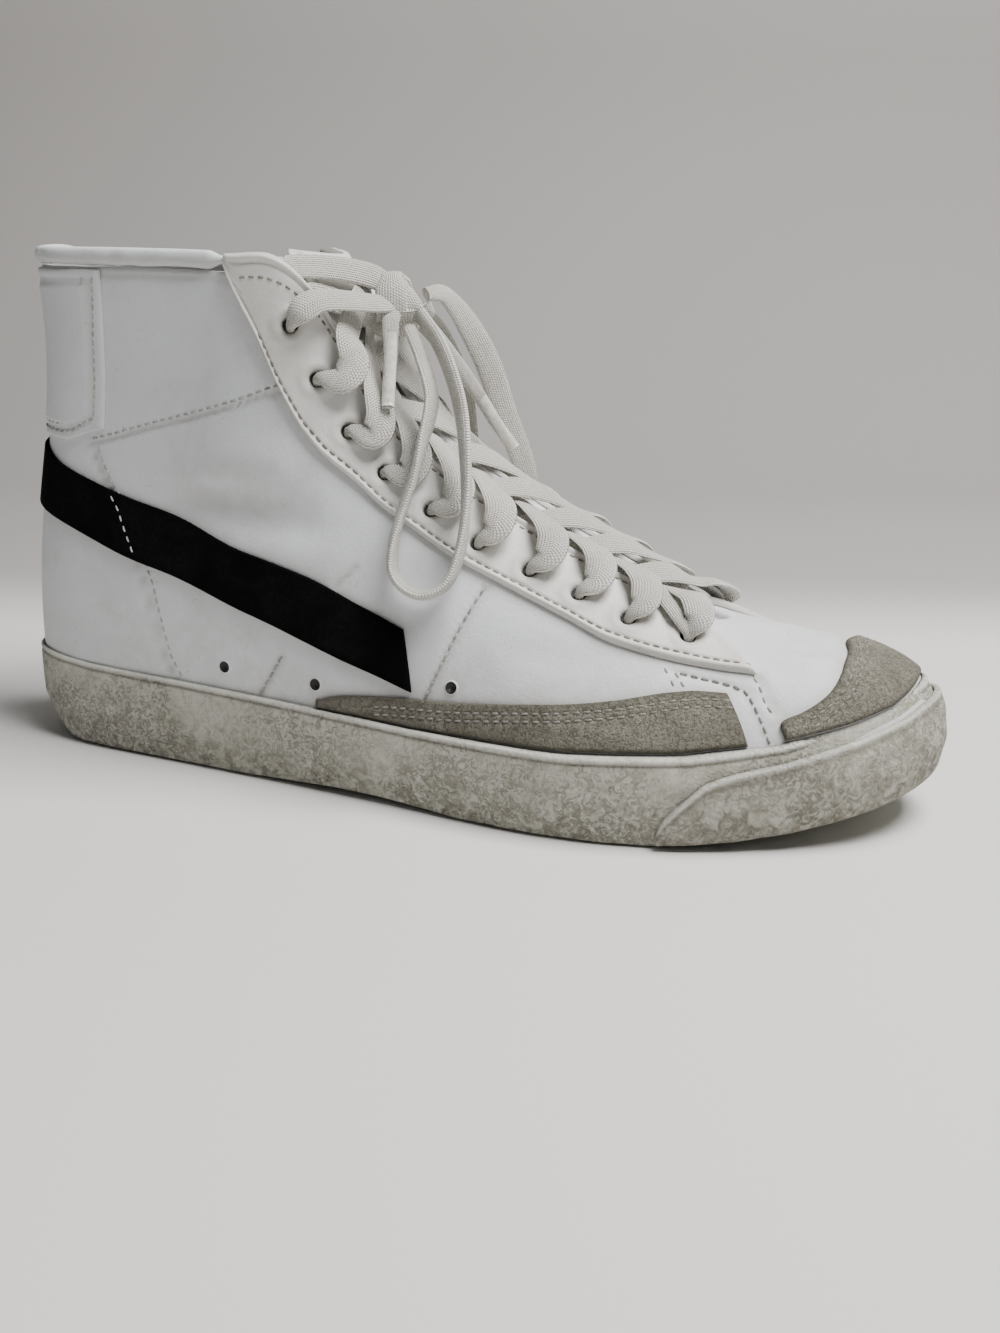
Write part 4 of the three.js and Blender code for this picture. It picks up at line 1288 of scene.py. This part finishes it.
def throat_normal(s):
    """Direction off the line between the two edges of the throat."""
    ahead = bare(s + 0.3, 1.0) + bare(TURN - s - 0.3, 1.0)
    behind = bare(s - 0.3, 1.0) + bare(TURN - s + 0.3, 1.0)
    d = (ahead - behind) * [1, 0, 1]
    return unit(np.cross(d, np.array([0, 1.0, 0])))


def tongue_row(s, h, crown):
    """Points across the tongue between the two edges of the throat, crown at its middle."""
    levels = np.array([0.84, 0.92, 0.99])
    one = bare(np.full(3, s), levels, h)
    two = bare(np.full(3, TURN - s), levels, h)[::-1]
    middle = (one[2] + two[0]) / 2 + throat_normal(s) * crown
    return np.vstack([one, middle, two])


def tongue_top_row(row, thick):
    """Points across the free top of the tongue."""
    x, z, wing_x, wing_y, wing_z = row
    t = np.array([-1, -0.7, -0.35, 0, 0.35, 0.7, 1])
    k = t * t
    return np.stack([
        x + (wing_x - x) * k - thick * (1 - 0.35 * k), wing_y * t * (1 - 0.08 * thick), z + (wing_z - z) * k,
    ], -1)


def build_tongue():
    """A padded tongue: soft pads across it, a rolled top and side edges, and a row of stitches."""
    width_steps, length_steps = 60, 150

    def face(h, crown, thick, roll):
        rows = [tongue_row(16.6, -h, crown) + [8, 0, -4.9]]
        rows += [tongue_row(s, -h, crown) for s in TONGUE_SECTIONS]
        rows += [tongue_top_row(row, thick) for row in TONGUE_TOP]
        last_row = tongue_top_row(TONGUE_TOP[-1], thick * 0.5 + roll)
        last_row[:, 2] += 1.4
        rows.append(last_row)
        rows = np.stack([smooth_path(row, width_steps) for row in rows])
        return np.stack([smooth_path(rows[:, k], length_steps) for k in range(width_steps)], 1)

    outer = face(TONGUE_UNDER, 3.4, 0.0, 0.6)
    inner = face(TONGUE_UNDER + TONGUE, 1.4, TONGUE, -0.6)
    normal_ = unit(outer - inner)
    u = np.linspace(0, 1, length_steps)[:, None]
    w = np.abs(np.linspace(-1, 1, width_steps))[None]
    from_top = (1 - u) * TONGUE_LENGTH
    edge = np.maximum(hump(from_top, 5.5, 0.9), np.exp(-((w - 0.86) * 26) ** 2) * (u > 0.2))
    puff = 0.7 * hump(from_top, 2.4, 2.4)
    pads = 0.5 * np.sin(u * 34) * (1 - w**2) * smooth(0.92, 0.8, u)
    outer = outer + normal_ * (puff - 0.7 * edge + pads)[..., None]
    # painted shade in the stitched grooves and on the lower tongue deep in the throat, over an even 0.15 of
    # dirt
    soil = 0.35 * edge + 0.15 + 0.2 * smooth(0.9, 0.5, u) * np.ones_like(edge)
    tongue = shell(
        "tongue_leather", outer, inner, [CREAM, LINING],
        inner_slot=1, paint={"soil": soil},
    )
    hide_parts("tongue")
    row = outer[int(length_steps * 0.972), 3:-3] + [0.25, 0, 0.3]
    verts, faces = stitch_row(row, np.tile([0.9, 0, 0.45], (len(row), 1)), pitch=2.6, length=1.9)
    make_mesh("tongue_stitches", np.array(verts), faces, TAN_THREAD)


build_tongue()


# ---------------------------------------------------------------------------------------------
# Laces: one flat woven cotton lace. Each run comes up out of an eyelet, lies over the eyestay and goes
# down under the opposite edge. The lowest run goes straight across.
# ---------------------------------------------------------------------------------------------
TOP = LAY + OVERLAY
LACE_OVER = TOP + 1.0  # the middle of a lace that lies on an eyestay


def sweep(name, path, facing, width, thick, material, n=60, sides=12, crown=2.4):
    """A flat lace along path: a superellipse section whose broad face follows facing.

    facing, width and thick follow the same control points. The UVs run along and across, in metres.
    """
    control = np.hstack([
        np.asarray(path, float),
        np.asarray(facing, float),
        np.asarray(width, float)[:, None],
        np.asarray(thick, float)[:, None],
    ])
    p = smooth_path(control, n)
    centre = p[:, :3]
    tangent = unit(np.gradient(centre, axis=0))
    face = unit(p[:, 3:6] - (p[:, 3:6] * tangent).sum(-1, keepdims=True) * tangent)
    across = unit(np.cross(tangent, face))
    angle = np.linspace(0, 2 * np.pi, sides, endpoint=False)
    x = np.sign(np.cos(angle)) * np.abs(np.cos(angle)) ** (2 / crown)
    wide = across[:, None] * ((p[:, 6] / 2)[:, None] * x)[..., None]
    deep = face[:, None] * ((p[:, 7] / 2)[:, None] * np.sin(angle))[..., None]
    verts, faces = closed_tube(centre[:, None] + wide + deep)
    uv = np.stack(np.broadcast_arrays(run_length(centre)[:, None], x[None] * 4), -1).reshape(-1, 2) * MM
    return make_mesh(name, verts, faces, material, uv=uv), centre


def build_weave(t, i):
    """Flat weave in the lace's own UV: rows of slanted yarns, u along the lace and v across, in metres."""
    split = t.add("SeparateXYZ", {"Vector": i["UV"]})
    along, across = split.outputs["X"], split.outputs["Y"]
    column = t.math("SINE", t.times(across, 9000.0))
    slant = t.plus(along, t.times(t.math("ABSOLUTE", across), 0.6))
    row = t.math("SINE", t.times(slant, 7600.0))
    yarn = t.times(t.plus(column, 1.0), t.plus(row, 1.2))
    fuzz = t.noise(i["Where"], 1500.0, 4.0, 0.75, 0.8)
    return {"Height": t.plus(t.times(yarn, 0.3), t.times(fuzz, 0.8))}


WEAVE = group("lace_weave", ["UV", "Where"], ["Height"], build_weave)


def build_cotton(t, where):
    """Off-white flat weave, darkened between its yarns partly by dirt and partly by painted shade."""
    uv = t.add("UVMap").outputs["UV"]
    weave = use(t, WEAVE, {"UV": uv, "Where": where})["Height"]
    grime = use(t, GRIME, {"Where": where})
    tone = t.remap(t.noise(where, 70.0, 5.0), 0.3, 0.7)
    colour = t.mix(tone, rgb(0.87, 0.86, 0.815), rgb(0.94, 0.935, 0.91))
    # darker in the weave's hollows: partly dirt, partly painted shade
    colour = t.mix(t.remap(weave, 0.8, 0.35), colour, rgb(0.60, 0.575, 0.50))
    colour = t.mix(t.times(grime["Soil"], 0.3), colour, rgb(0.33, 0.29, 0.22))
    return {
        "Base Color": colour, "Roughness": 0.9, "Specular IOR Level": 0.2, "Height": weave, "Bump": 0.00045,
    }


COTTON = material("lace_cotton", build_cotton)


def tongue_middle(s):
    """The middle of the tongue's face at place s of the throat."""
    if s > 9.2:
        return tongue_row(s, -TONGUE_UNDER, 3.4)[3]
    low = np.array([TONGUE_TOP[0][0], 0, TONGUE_TOP[0][1]], float)
    high = np.array([TONGUE_TOP[1][0], 0, TONGUE_TOP[1][1]], float)
    if s > 8.2:
        return low + (tongue_middle(9.201) - low) * (s - 8.2)
    return high + (low - high) * (s - 7) / 1.2


def throat(s, lift):
    """A point over the middle of the tongue, and the direction off it."""
    d = (tongue_middle(s + 0.3) - tongue_middle(s - 0.3)) * [1, 0, 1]
    n = unit(np.cross(d, np.array([0, 1.0, 0])))
    return tongue_middle(s) + n * lift, n


def eyestay_point(s, v, h, side):
    """A point h off the plain last, on one side."""
    at = np.array(sided(s, side), float)
    return bare(at, np.array(float(v)), np.array(float(h)))


def eyestay_normal(s, v, side):
    """Direction off the last at a point of one side."""
    return unit(eyestay_point(s, v, 1, side) - eyestay_point(s, v, 0, side))


def tilt(vector, toward, share):
    """A direction turned by a share of the way toward another."""
    return unit(np.asarray(vector) * (1 - share) + np.asarray(toward, float) * share)


def build_crossing(k, side):
    """Up out of one eyelet, in a soft lobe over the eyestay, and down under the opposite edge."""
    (s0, v0), (s1, v1) = EYELETS[k], EYELETS[k + 1]
    over = LACE_OVER
    swing = 0.42 + 0.5 * smooth(4.5, 0.5, k)
    edge = s1 + swing
    middle, up = throat(s1 * 0.75 + s0 * 0.25, 6.8 if side < 0 else 1.9)
    across = tilt(up, [0.1, -1, 0], 0.35) if side < 0 else up
    twist = 0.12 * math.sin(k * 2.1 + side)
    puff = 2.6 + 0.8 * math.sin(k * 1.7 + 0.5 * side)
    path = [
        eyestay_point(s1, v1 - 0.012, -1.2, side), eyestay_point(s1 + 0.04, v1 + 0.004, over - 0.2, side),
        eyestay_point(s1 + 0.7 * swing, v1 * 0.75 + 0.25, over + puff, side),
        eyestay_point(s1 + 1.05 * swing, v1 * 0.35 + 0.65, over + puff + 1.2, side),
        eyestay_point(edge, 1, over + 2.4, side),
        middle,
        eyestay_point(s0 * 0.9 + s1 * 0.1, 1, -3.0, -side),
        eyestay_point(s0, v0 * 0.5 + 0.5, -3.6, -side),
    ]
    n1 = eyestay_normal(s1, v1, side)
    lean = tilt(n1, [-1, 0, 0.2], 0.12 + twist)
    facing = [lean, lean, lean, tilt(n1, up, 0.25), tilt(n1, up, 0.6)]
    facing += [across, up, eyestay_normal(s0, 0.97, -side)]
    width = [2.4, 3.6, 8.6, 9.6, 8.8, 8.2, 7.4, 6.5]
    thick = [2.0, 2.8, 2.6, 2.0, 1.7, 1.5, 1.4, 1.3]
    name = f"lace_run_{SIDES[side]}_{k + 1}"
    return sweep(name, path, facing, width, thick, COTTON, n=84, sides=16)[0]


def build_top_run(side):
    """From the top eyelet to the knot."""
    s, v = EYELETS[0]
    over = LACE_OVER
    n1 = eyestay_normal(s, v, side)
    path = [
        eyestay_point(s, v - 0.012, -1.2, side), eyestay_point(s + 0.05, v + 0.004, over - 0.2, side),
        eyestay_point(s + 0.3, v * 0.65 + 0.35, over + 2.4, side),
        eyestay_point(s + 0.85, 0.985, over + 2.6, side),
        KNOT + [-1.5, -9 * side, -0.5], KNOT + [-0.5, -3 * side, 0],
    ]
    lean = tilt(n1, [-0.3, 0, 1], 0.3)
    facing = [n1, lean, lean, tilt(n1, [0.4, 0, 1], 0.5), [0.5, -0.4 * side, 0.7], [0.6, -0.2 * side, 0.6]]
    width = [2.4, 3.6, 8.8, 8.6, 7.2, 5.5]
    thick = [2.0, 2.8, 2.4, 1.8, 2.2, 3.0]
    return sweep("lace_run_top_" + SIDES[side], path, facing, width, thick, COTTON, n=70, sides=16)[0]


def build_lowest_bar():
    """Straight across from eyelet to eyelet."""
    s, v = EYELETS[-1]
    over = LACE_OVER
    middle, up = throat(s, 2.6)
    half = [
        (v - 0.01, -1.0), (v, over - 0.3), (v * 0.7 + 0.3, over + 1.5), (v * 0.35 + 0.65, over + 1.4),
        (1, over + 0.6),
    ]
    one = [eyestay_point(s, a, h, 1) for a, h in half]
    two = [eyestay_point(s, a, h, -1) for a, h in half]
    n1, n2 = eyestay_normal(s, v, 1), eyestay_normal(s, v, -1)
    facing = [n1] * 4 + [tilt(n1, up, 0.4)] + [up] + [tilt(n2, up, 0.4)] + [n2] * 4
    width = [2.6, 3.6, 7.6, 8.6, 8.4, 8.2, 8.4, 8.6, 7.6, 3.6, 2.6]
    thick = [2.2, 2.6, 2.2, 1.9, 1.7, 1.6, 1.7, 1.9, 2.2, 2.6, 2.2]
    path = one + [middle] + two[::-1]
    return sweep("lace_run_lowest", path, facing, width, thick, COTTON, n=90, sides=14)[0]


KNOT = np.array([-21, -4, 146.5])  # the middle of the bow's knot
runs = [build_lowest_bar(), build_top_run(1), build_top_run(-1)]

for k in range(len(EYELETS) - 1):
    for side in SIDES:
        runs.append(build_crossing(k, side))
for run in runs:
    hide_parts("lace_bars")


def build_film(t, where):
    """Clear film, slightly yellowed in streaks."""
    streak = t.remap(t.noise(where, 500.0, 3.0), 0.35, 0.7)
    colour = t.mix(streak, rgb(0.78, 0.77, 0.72), rgb(0.60, 0.58, 0.52))
    return {"Base Color": colour, "Roughness": 0.16, "Coat Weight": 0.6, "Specular IOR Level": 0.6}


FILM = material("clear_film", build_film)

# Routes of the two loops and the two ends, in the shoe's own frame.
LOOP_OUTER = [
    [-14.2, -11.5, 139.5], [-8.5, -15, 130], [-3.3, -20.5, 118.9], [-3.8, -26.5, 107], [-5.5, -30.8, 95.8],
    [-7.8, -35.5, 84], [-8.2, -38.5, 76], [-6.5, -41.2, 69.5], [-1.2, -42.3, 65.6], [4.6, -42, 65.2],
    [9.8, -39.8, 69], [12.4, -36.2, 79], [12.4, -32.5, 92], [10.2, -28, 105.9], [6.8, -22.5, 116.5],
    [1.6, -17, 126.5], [-5, -11.5, 135.5], [-12.6, -7.6, 143.4],
]
LOOP_INNER = [
    [-13.6, 0.6, 148.6], [-9.5, 6, 148], [-4.5, 13, 139], [0.5, 19, 126], [4.5, 24, 110], [8.5, 30.5, 95],
    [9, 35.5, 84], [5, 38.5, 77.5], [-1, 39, 76], [-6, 36.8, 80], [-8.5, 33, 90], [-8.5, 28, 104],
    [-9.5, 21.5, 121], [-13, 12, 136], [-15.8, 3.6, 143],
]
END_OUTER = [
    [-19.6, -12.2, 142.2], [-19, -14.4, 138], [-18, -16.6, 132.8], [-16.9, -20.3, 124.7], [-15.8, -24, 116.7],
]
END_INNER = [[-13.2, -1.5, 139.6], [-6, 3.5, 129.5], [1.5, 8, 117.5], [6.5, 11, 108.5], [11, 13.4, 101.5]]


def place(points):
    """Points of the shoe's own frame in the row frame, in metres."""
    return ((np.asarray(points, float) + SHIFT) * MM).tolist()


def build_knot():
    """A tight core, a broad wrap over its front and a narrower one round behind."""
    sideways = unit(np.array([0.93, 0.33, 0.1]))
    wraps = []
    for word, axis, high, deep, width, lean in (
        ("front", sideways, 8.6, 6.0, 9.6, 0.0),
        ("back", unit(sideways + [0, 0.2, 0.55]), 6.6, 6.6, 7.6, 2.2),
    ):
        deepways = unit(np.cross(axis, UP))
        upward = np.cross(deepways, axis)
        t = np.linspace(-0.6, 2 * np.pi - 0.2, 17)
        drift = (t / t[-1] - 0.5)[:, None] * axis * 3.0
        spoke = np.cos(t)[:, None] * deepways * deep + np.sin(t)[:, None] * upward * high
        path = KNOT + spoke + drift + [lean, lean * 2, -1]
        narrow = np.where(np.abs(np.cos(t)) > 0.5, 1.0, 0.72)
        thick = np.full(len(t), 2.6)
        name = "knot_wrap_" + word
        wraps.append(sweep(name, path, spoke, width * narrow, thick, COTTON, n=110, sides=16)[0])
    core_path = [KNOT + [1.5, 0, -7], KNOT + [0.5, 0, -4], KNOT, KNOT + [-0.5, 0, 4], KNOT + [-1, 0, 7]]
    wraps.append(sweep("knot_core", core_path, [[1, 0, 0]] * 5, [5, 9, 10, 9, 5], [5, 8, 9, 8, 5], COTTON)[0])
    for wrap in wraps:
        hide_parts("lace_knot")
    return wraps


def build_cord(name, node, path, facing, width, thick, n=150):
    """One limp stretch of the bow, swept along its path."""
    cord, centre = sweep(name, path, facing, width, thick, COTTON, n=n, sides=14)
    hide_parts(node)
    place(centre[:1])[0]
    place(centre)


def edge_on(points, across, swing):
    """Facings for a lace whose broad side lies along across, swung by the given degrees on the way."""
    p = np.asarray(points, float)
    tangent = unit(np.gradient(p, axis=0))
    degrees = np.interp(np.linspace(0, 1, len(p)), np.linspace(0, 1, len(swing)), swing)
    angle = np.radians(degrees)[:, None]
    flat = unit(np.cross(tangent, np.asarray(across, float)))
    return unit(flat * np.cos(angle) + np.cross(tangent, flat) * np.sin(angle))


def lace_widths(n, full, ends):
    """A width or thickness along a lace, which changes to ends over its first and its last sixth."""
    t = np.linspace(0, 1, n)
    return full - (full - ends) * np.clip(1 - t * 6, 0, 1) - (full - ends) * np.clip(t * 6 - 5, 0, 1)


def build_tip(name, path):
    """A clear film tip round the end of a lace."""
    n = len(path)
    return sweep(name, path, [[0.3, -1, 0]] * n, [4.0] * n, [3.0] * n, FILM, n=24, crown=2.0)[0]


def build_bow():
    """The knot, the two loops hanging from it, and the two ends with their tips."""
    knot = build_knot()
    toward_camera = [0.32, -0.91, 0.27]
    n = len(LOOP_OUTER)
    build_cord(
        "bow_loop_outer", "lace_loop_outer", LOOP_OUTER,
        edge_on(LOOP_OUTER, toward_camera, [35, 22, -14, 10, 8, -10, 14, 24, 40]),
        lace_widths(n, 8.4, 5), lace_widths(n, 3.1, 3.2),
    )
    n = len(LOOP_INNER)
    build_cord(
        "bow_loop_inner", "lace_loop_inner", LOOP_INNER,
        edge_on(LOOP_INNER, toward_camera, [50, 70, 75, 60, 30, 10, 20, 40, 60]),
        lace_widths(n, 8.8, 5), lace_widths(n, 2.0, 2.8),
    )
    for word, path in (("outer", END_OUTER), ("inner", END_INNER)):
        tip = build_tip("lace_tip_" + word, path[-4:] if word == "outer" else path[-3:])
        path = [KNOT + [1, -2, 0]] + path
        n = len(path)
        build_cord(
            "bow_end_" + word, "lace_end_" + word, path, [[0.5, -0.8, 0.2]] * n, np.linspace(6.0, 3.3, n),
            np.linspace(2.6, 2.3, n), n=60,
        )
        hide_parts("lace_end_" + word)


build_bow()


# ---------------------------------------------------------------------------------------------
# Stitching: rows of thick thread along the edges of the overlays and on the seams of the upper. Each
# stitch is a short bead, half sunk in the leather.
# ---------------------------------------------------------------------------------------------
def stitches(name, rows, material, slot="white_leather", h=0.0, side=1, **how):
    """One mesh of stitches along rows of (s, v) points on the last, h off it."""
    verts, faces = [], []
    for row in rows:
        sv = polyline(row, 160)
        s = sided(sv[:, 0], side)
        points = last(s, sv[:, 1], h)
        more, quads_ = stitch_row(points, normal(s, sv[:, 1]), **how)
        faces += [[k + len(verts) for k in f] for f in quads_]
        verts += more
    return make_mesh(name, np.array(verts), faces, material)


WHITE_THREAD = thread("white_thread", rgb(0.46, 0.45, 0.42), rgb(0.27, 0.26, 0.24))
GREY_THREAD = thread("grey_thread", rgb(0.30, 0.285, 0.26), rgb(0.17, 0.155, 0.135))
PALE_THREAD = thread("pale_thread", rgb(0.68, 0.67, 0.63), rgb(0.5, 0.48, 0.43))


def shifted(line, inside):
    """A line of (s, v) points moved down by inside millimetres of wall."""
    p = polyline(line, 60)
    step = np.linalg.norm(bare(p[:, 0], p[:, 1] + 0.01) - bare(p[:, 0], p[:, 1]), axis=-1) / 0.01
    return np.stack([p[:, 0], p[:, 1] + inside / step], -1)


for side, word in SIDES.items():
    stay_rows = [shifted([p for p in EYESTAY_LINE if p[0] > 6.5], 3.0)]
    stay_rows.append([(s, 0.955) for s in np.linspace(6.3, 15.6, 40)])
    stitches(
        "eyestay_stitches_" + word, stay_rows, TAN_THREAD, "cream_leather", TOP - 0.05, side,
        pitch=2.9, length=2.1,
    )
    panel_rows = [shifted([p for p in SIDE_LINE if p[0] > 8.3], -d) for d in STITCH_ROWS]
    stitches(
        "panel_stitches_" + word, panel_rows, GREY_THREAD, "grey_suede", TOP - 0.2, side,
        pitch=3.0, length=2.2,
    )
    quarter_rows = [shifted(SEAMS["rise"], 1.6), [(s + 0.12, v) for s, v in SEAMS["down"]], SEAMS["quarter"]]
    quarter_rows += [[(s + 0.06, v) for s, v in VAMP_LINE], [(s - 0.07, v) for s, v in VAMP_BACK]]
    quarter_rows += [[(14.27, 0.628), (14.33, 0.53)], [(14.42, 0.61), (14.48, 0.54)], SEAMS["short"]]
    stitches(
        "quarter_stitches_" + word, quarter_rows, WHITE_THREAD, "white_leather", 0.0, side,
        pitch=3.0, length=2.2,
    )
    band_row = [(3.94, 0.502), (4.08, 0.472), (4.35, 0.375)]
    stitches(
        "band_stitches_" + word, [band_row], PALE_THREAD, "black_suede", LAY + 0.8, side,
        pitch=3.0, length=2.3,
    )
cap_rows = []

for d in STITCH_ROWS:
    half = shifted([p for p in CAP_LINE if p[0] > 15.74], -d)
    cap_rows += [half, np.stack([TURN - half[:, 0], half[:, 1]], -1)]
stitches("cap_stitches", cap_rows, GREY_THREAD, "grey_suede", TOP - 0.2, pitch=3.0, length=2.2)
tab_rows = []

for inside in (0.1, 0.28):
    left = [(3.74, 0.95), (3.7, 0.82), (3.7, 0.66), (3.3, 0.62 + inside * 0.08)]
    left = [(s - inside, v) for s, v in left]
    low_edge = [(s, 0.613 + inside * 0.09) for s in np.linspace(3.1 - inside, -3.1 + inside, 12)]
    tab_rows.append(left + low_edge + [(-s, v) for s, v in left[::-1]])
stitches("tab_stitches", tab_rows, WHITE_THREAD, "white_leather", 1.2, pitch=2.7, length=2.0)


# ---------------------------------------------------------------------------------------------
# Studio: a pale floor that curves up into a wall, three soft lights, a dim world and the camera.
# ---------------------------------------------------------------------------------------------
AZIMUTH = 19.2  # degrees that the camera stands round toward the toe


def build_backdrop(t, where):
    """Pale round the shoe and painted greyer behind it, as shade where less light reaches."""
    place = t.add("SeparateXYZ", {"Vector": where}).outputs
    turned = math.radians(AZIMUTH)
    along_y = t.times(place["Y"], math.cos(turned))
    behind = t.math("SUBTRACT", along_y, t.times(place["X"], math.sin(turned)))
    # painted shade: floor and wall behind the shoe are painted darker in place of light falling off
    colour = t.mix(t.remap(behind, 0.15, 0.3), rgb(0.74, 0.73, 0.715), rgb(0.40, 0.385, 0.375))
    return {"Base Color": colour, "Roughness": 0.8}


def build_sweep():
    """A pale floor that curves up into a wall, square to the camera, in metres."""
    flat, radius = 0.55, 0.3
    profile = [(-2.2, 0.0), (flat, 0.0)]
    for a in np.linspace(0.1, math.pi / 2, 14):
        profile.append((flat + radius * math.sin(a), radius - radius * math.cos(a)))
    profile.append((flat + radius, 3.0))
    p = np.array(profile)
    across = np.linspace(-3.0, 3.0, 7)
    turned = math.radians(AZIMUTH)
    verts = [
        (x * math.cos(turned) - y * math.sin(turned), x * math.sin(turned) + y * math.cos(turned), z)
        for x in across for y, z in p
    ]
    mesh = bpy.data.meshes.new("studio_sweep")
    mesh.from_pydata(verts, [], [list(map(int, f)) for f in quads(7, len(p))])
    mesh.polygons.foreach_set("use_smooth", np.ones(len(mesh.polygons), dtype=bool))
    mesh.materials.append(material("backdrop", build_backdrop))
    obj = linked("studio_sweep", mesh)


def posed(obj, right, up, back, where):
    """Sets where an object is, in metres, and which way its own axes point."""
    matrix = np.eye(4)
    matrix[:3, :3] = np.stack([right, up, back], 1)
    matrix[:3, 3] = where
    obj.matrix_world = Matrix(matrix.tolist())
    return obj


def build_light(name, place_, aim, size, power, colour):
    """A rectangular area light at a place and aimed at a point, in metres and watts."""
    data = bpy.data.lights.new(name, "AREA")
    data.shape = "RECTANGLE"
    data.size, data.size_y = size
    data.energy = power
    data.color = colour
    away = unit(np.array(place_, float) - np.array(aim, float))
    right = unit(np.cross([0, 0, 1.0], away))
    obj = posed(linked(name, data), right, np.cross(away, right), away, place_)


def build_camera():
    """A low three-quarter view of the outer side. Angles are in degrees, distance and aim in millimetres."""
    azimuth, elevation, roll = (math.radians(a) for a in (AZIMUTH, 15.5, 0.8))
    distance, aim = 510.0, np.array([12.2, 0.0, 33.5]) + SHIFT
    sensor = 36.0
    focal_share = 1.6  # focal length over the width of the frame
    frame_width, frame_height = 1000, 1333
    back = np.array([
        math.sin(azimuth) * math.cos(elevation),
        -math.cos(azimuth) * math.cos(elevation),
        math.sin(elevation),
    ])
    right = np.array([math.cos(azimuth), math.sin(azimuth), 0])
    up = np.cross(back, right)
    turned_right = math.cos(roll) * right + math.sin(roll) * up
    turned_up = -math.sin(roll) * right + math.cos(roll) * up
    data = bpy.data.cameras.new("camera")
    data.sensor_fit = "VERTICAL"
    data.sensor_width = data.sensor_height = sensor
    data.lens = sensor * focal_share * frame_width / frame_height
    data.clip_start = 0.01
    where = (aim + back * distance) * MM
    bpy.context.scene.camera = posed(linked("camera", data), turned_right, turned_up, back, where)


build_sweep()
build_light("top", (0.5, 0.0, 1.15), (0.04, 0.0, 0.03), (0.8, 0.6), 32, (1.0, 0.985, 0.965))
build_light("front", (0.9, -1.5, 0.9), (0, 0, 0.05), (1.4, 1.0), 1.4, (0.94, 0.97, 1.0))
build_light("side", (-1.3, -0.7, 0.9), (0, 0, 0.08), (0.8, 0.8), 0.8, (0.92, 0.96, 1.0))
world = bpy.data.worlds.new("studio")
world.use_nodes = True
sky = world.node_tree.nodes["Background"].inputs
sky["Color"].default_value = rgb(0.95, 0.97, 1.0)
sky["Strength"].default_value = 0.035
bpy.context.scene.world = world
build_camera()
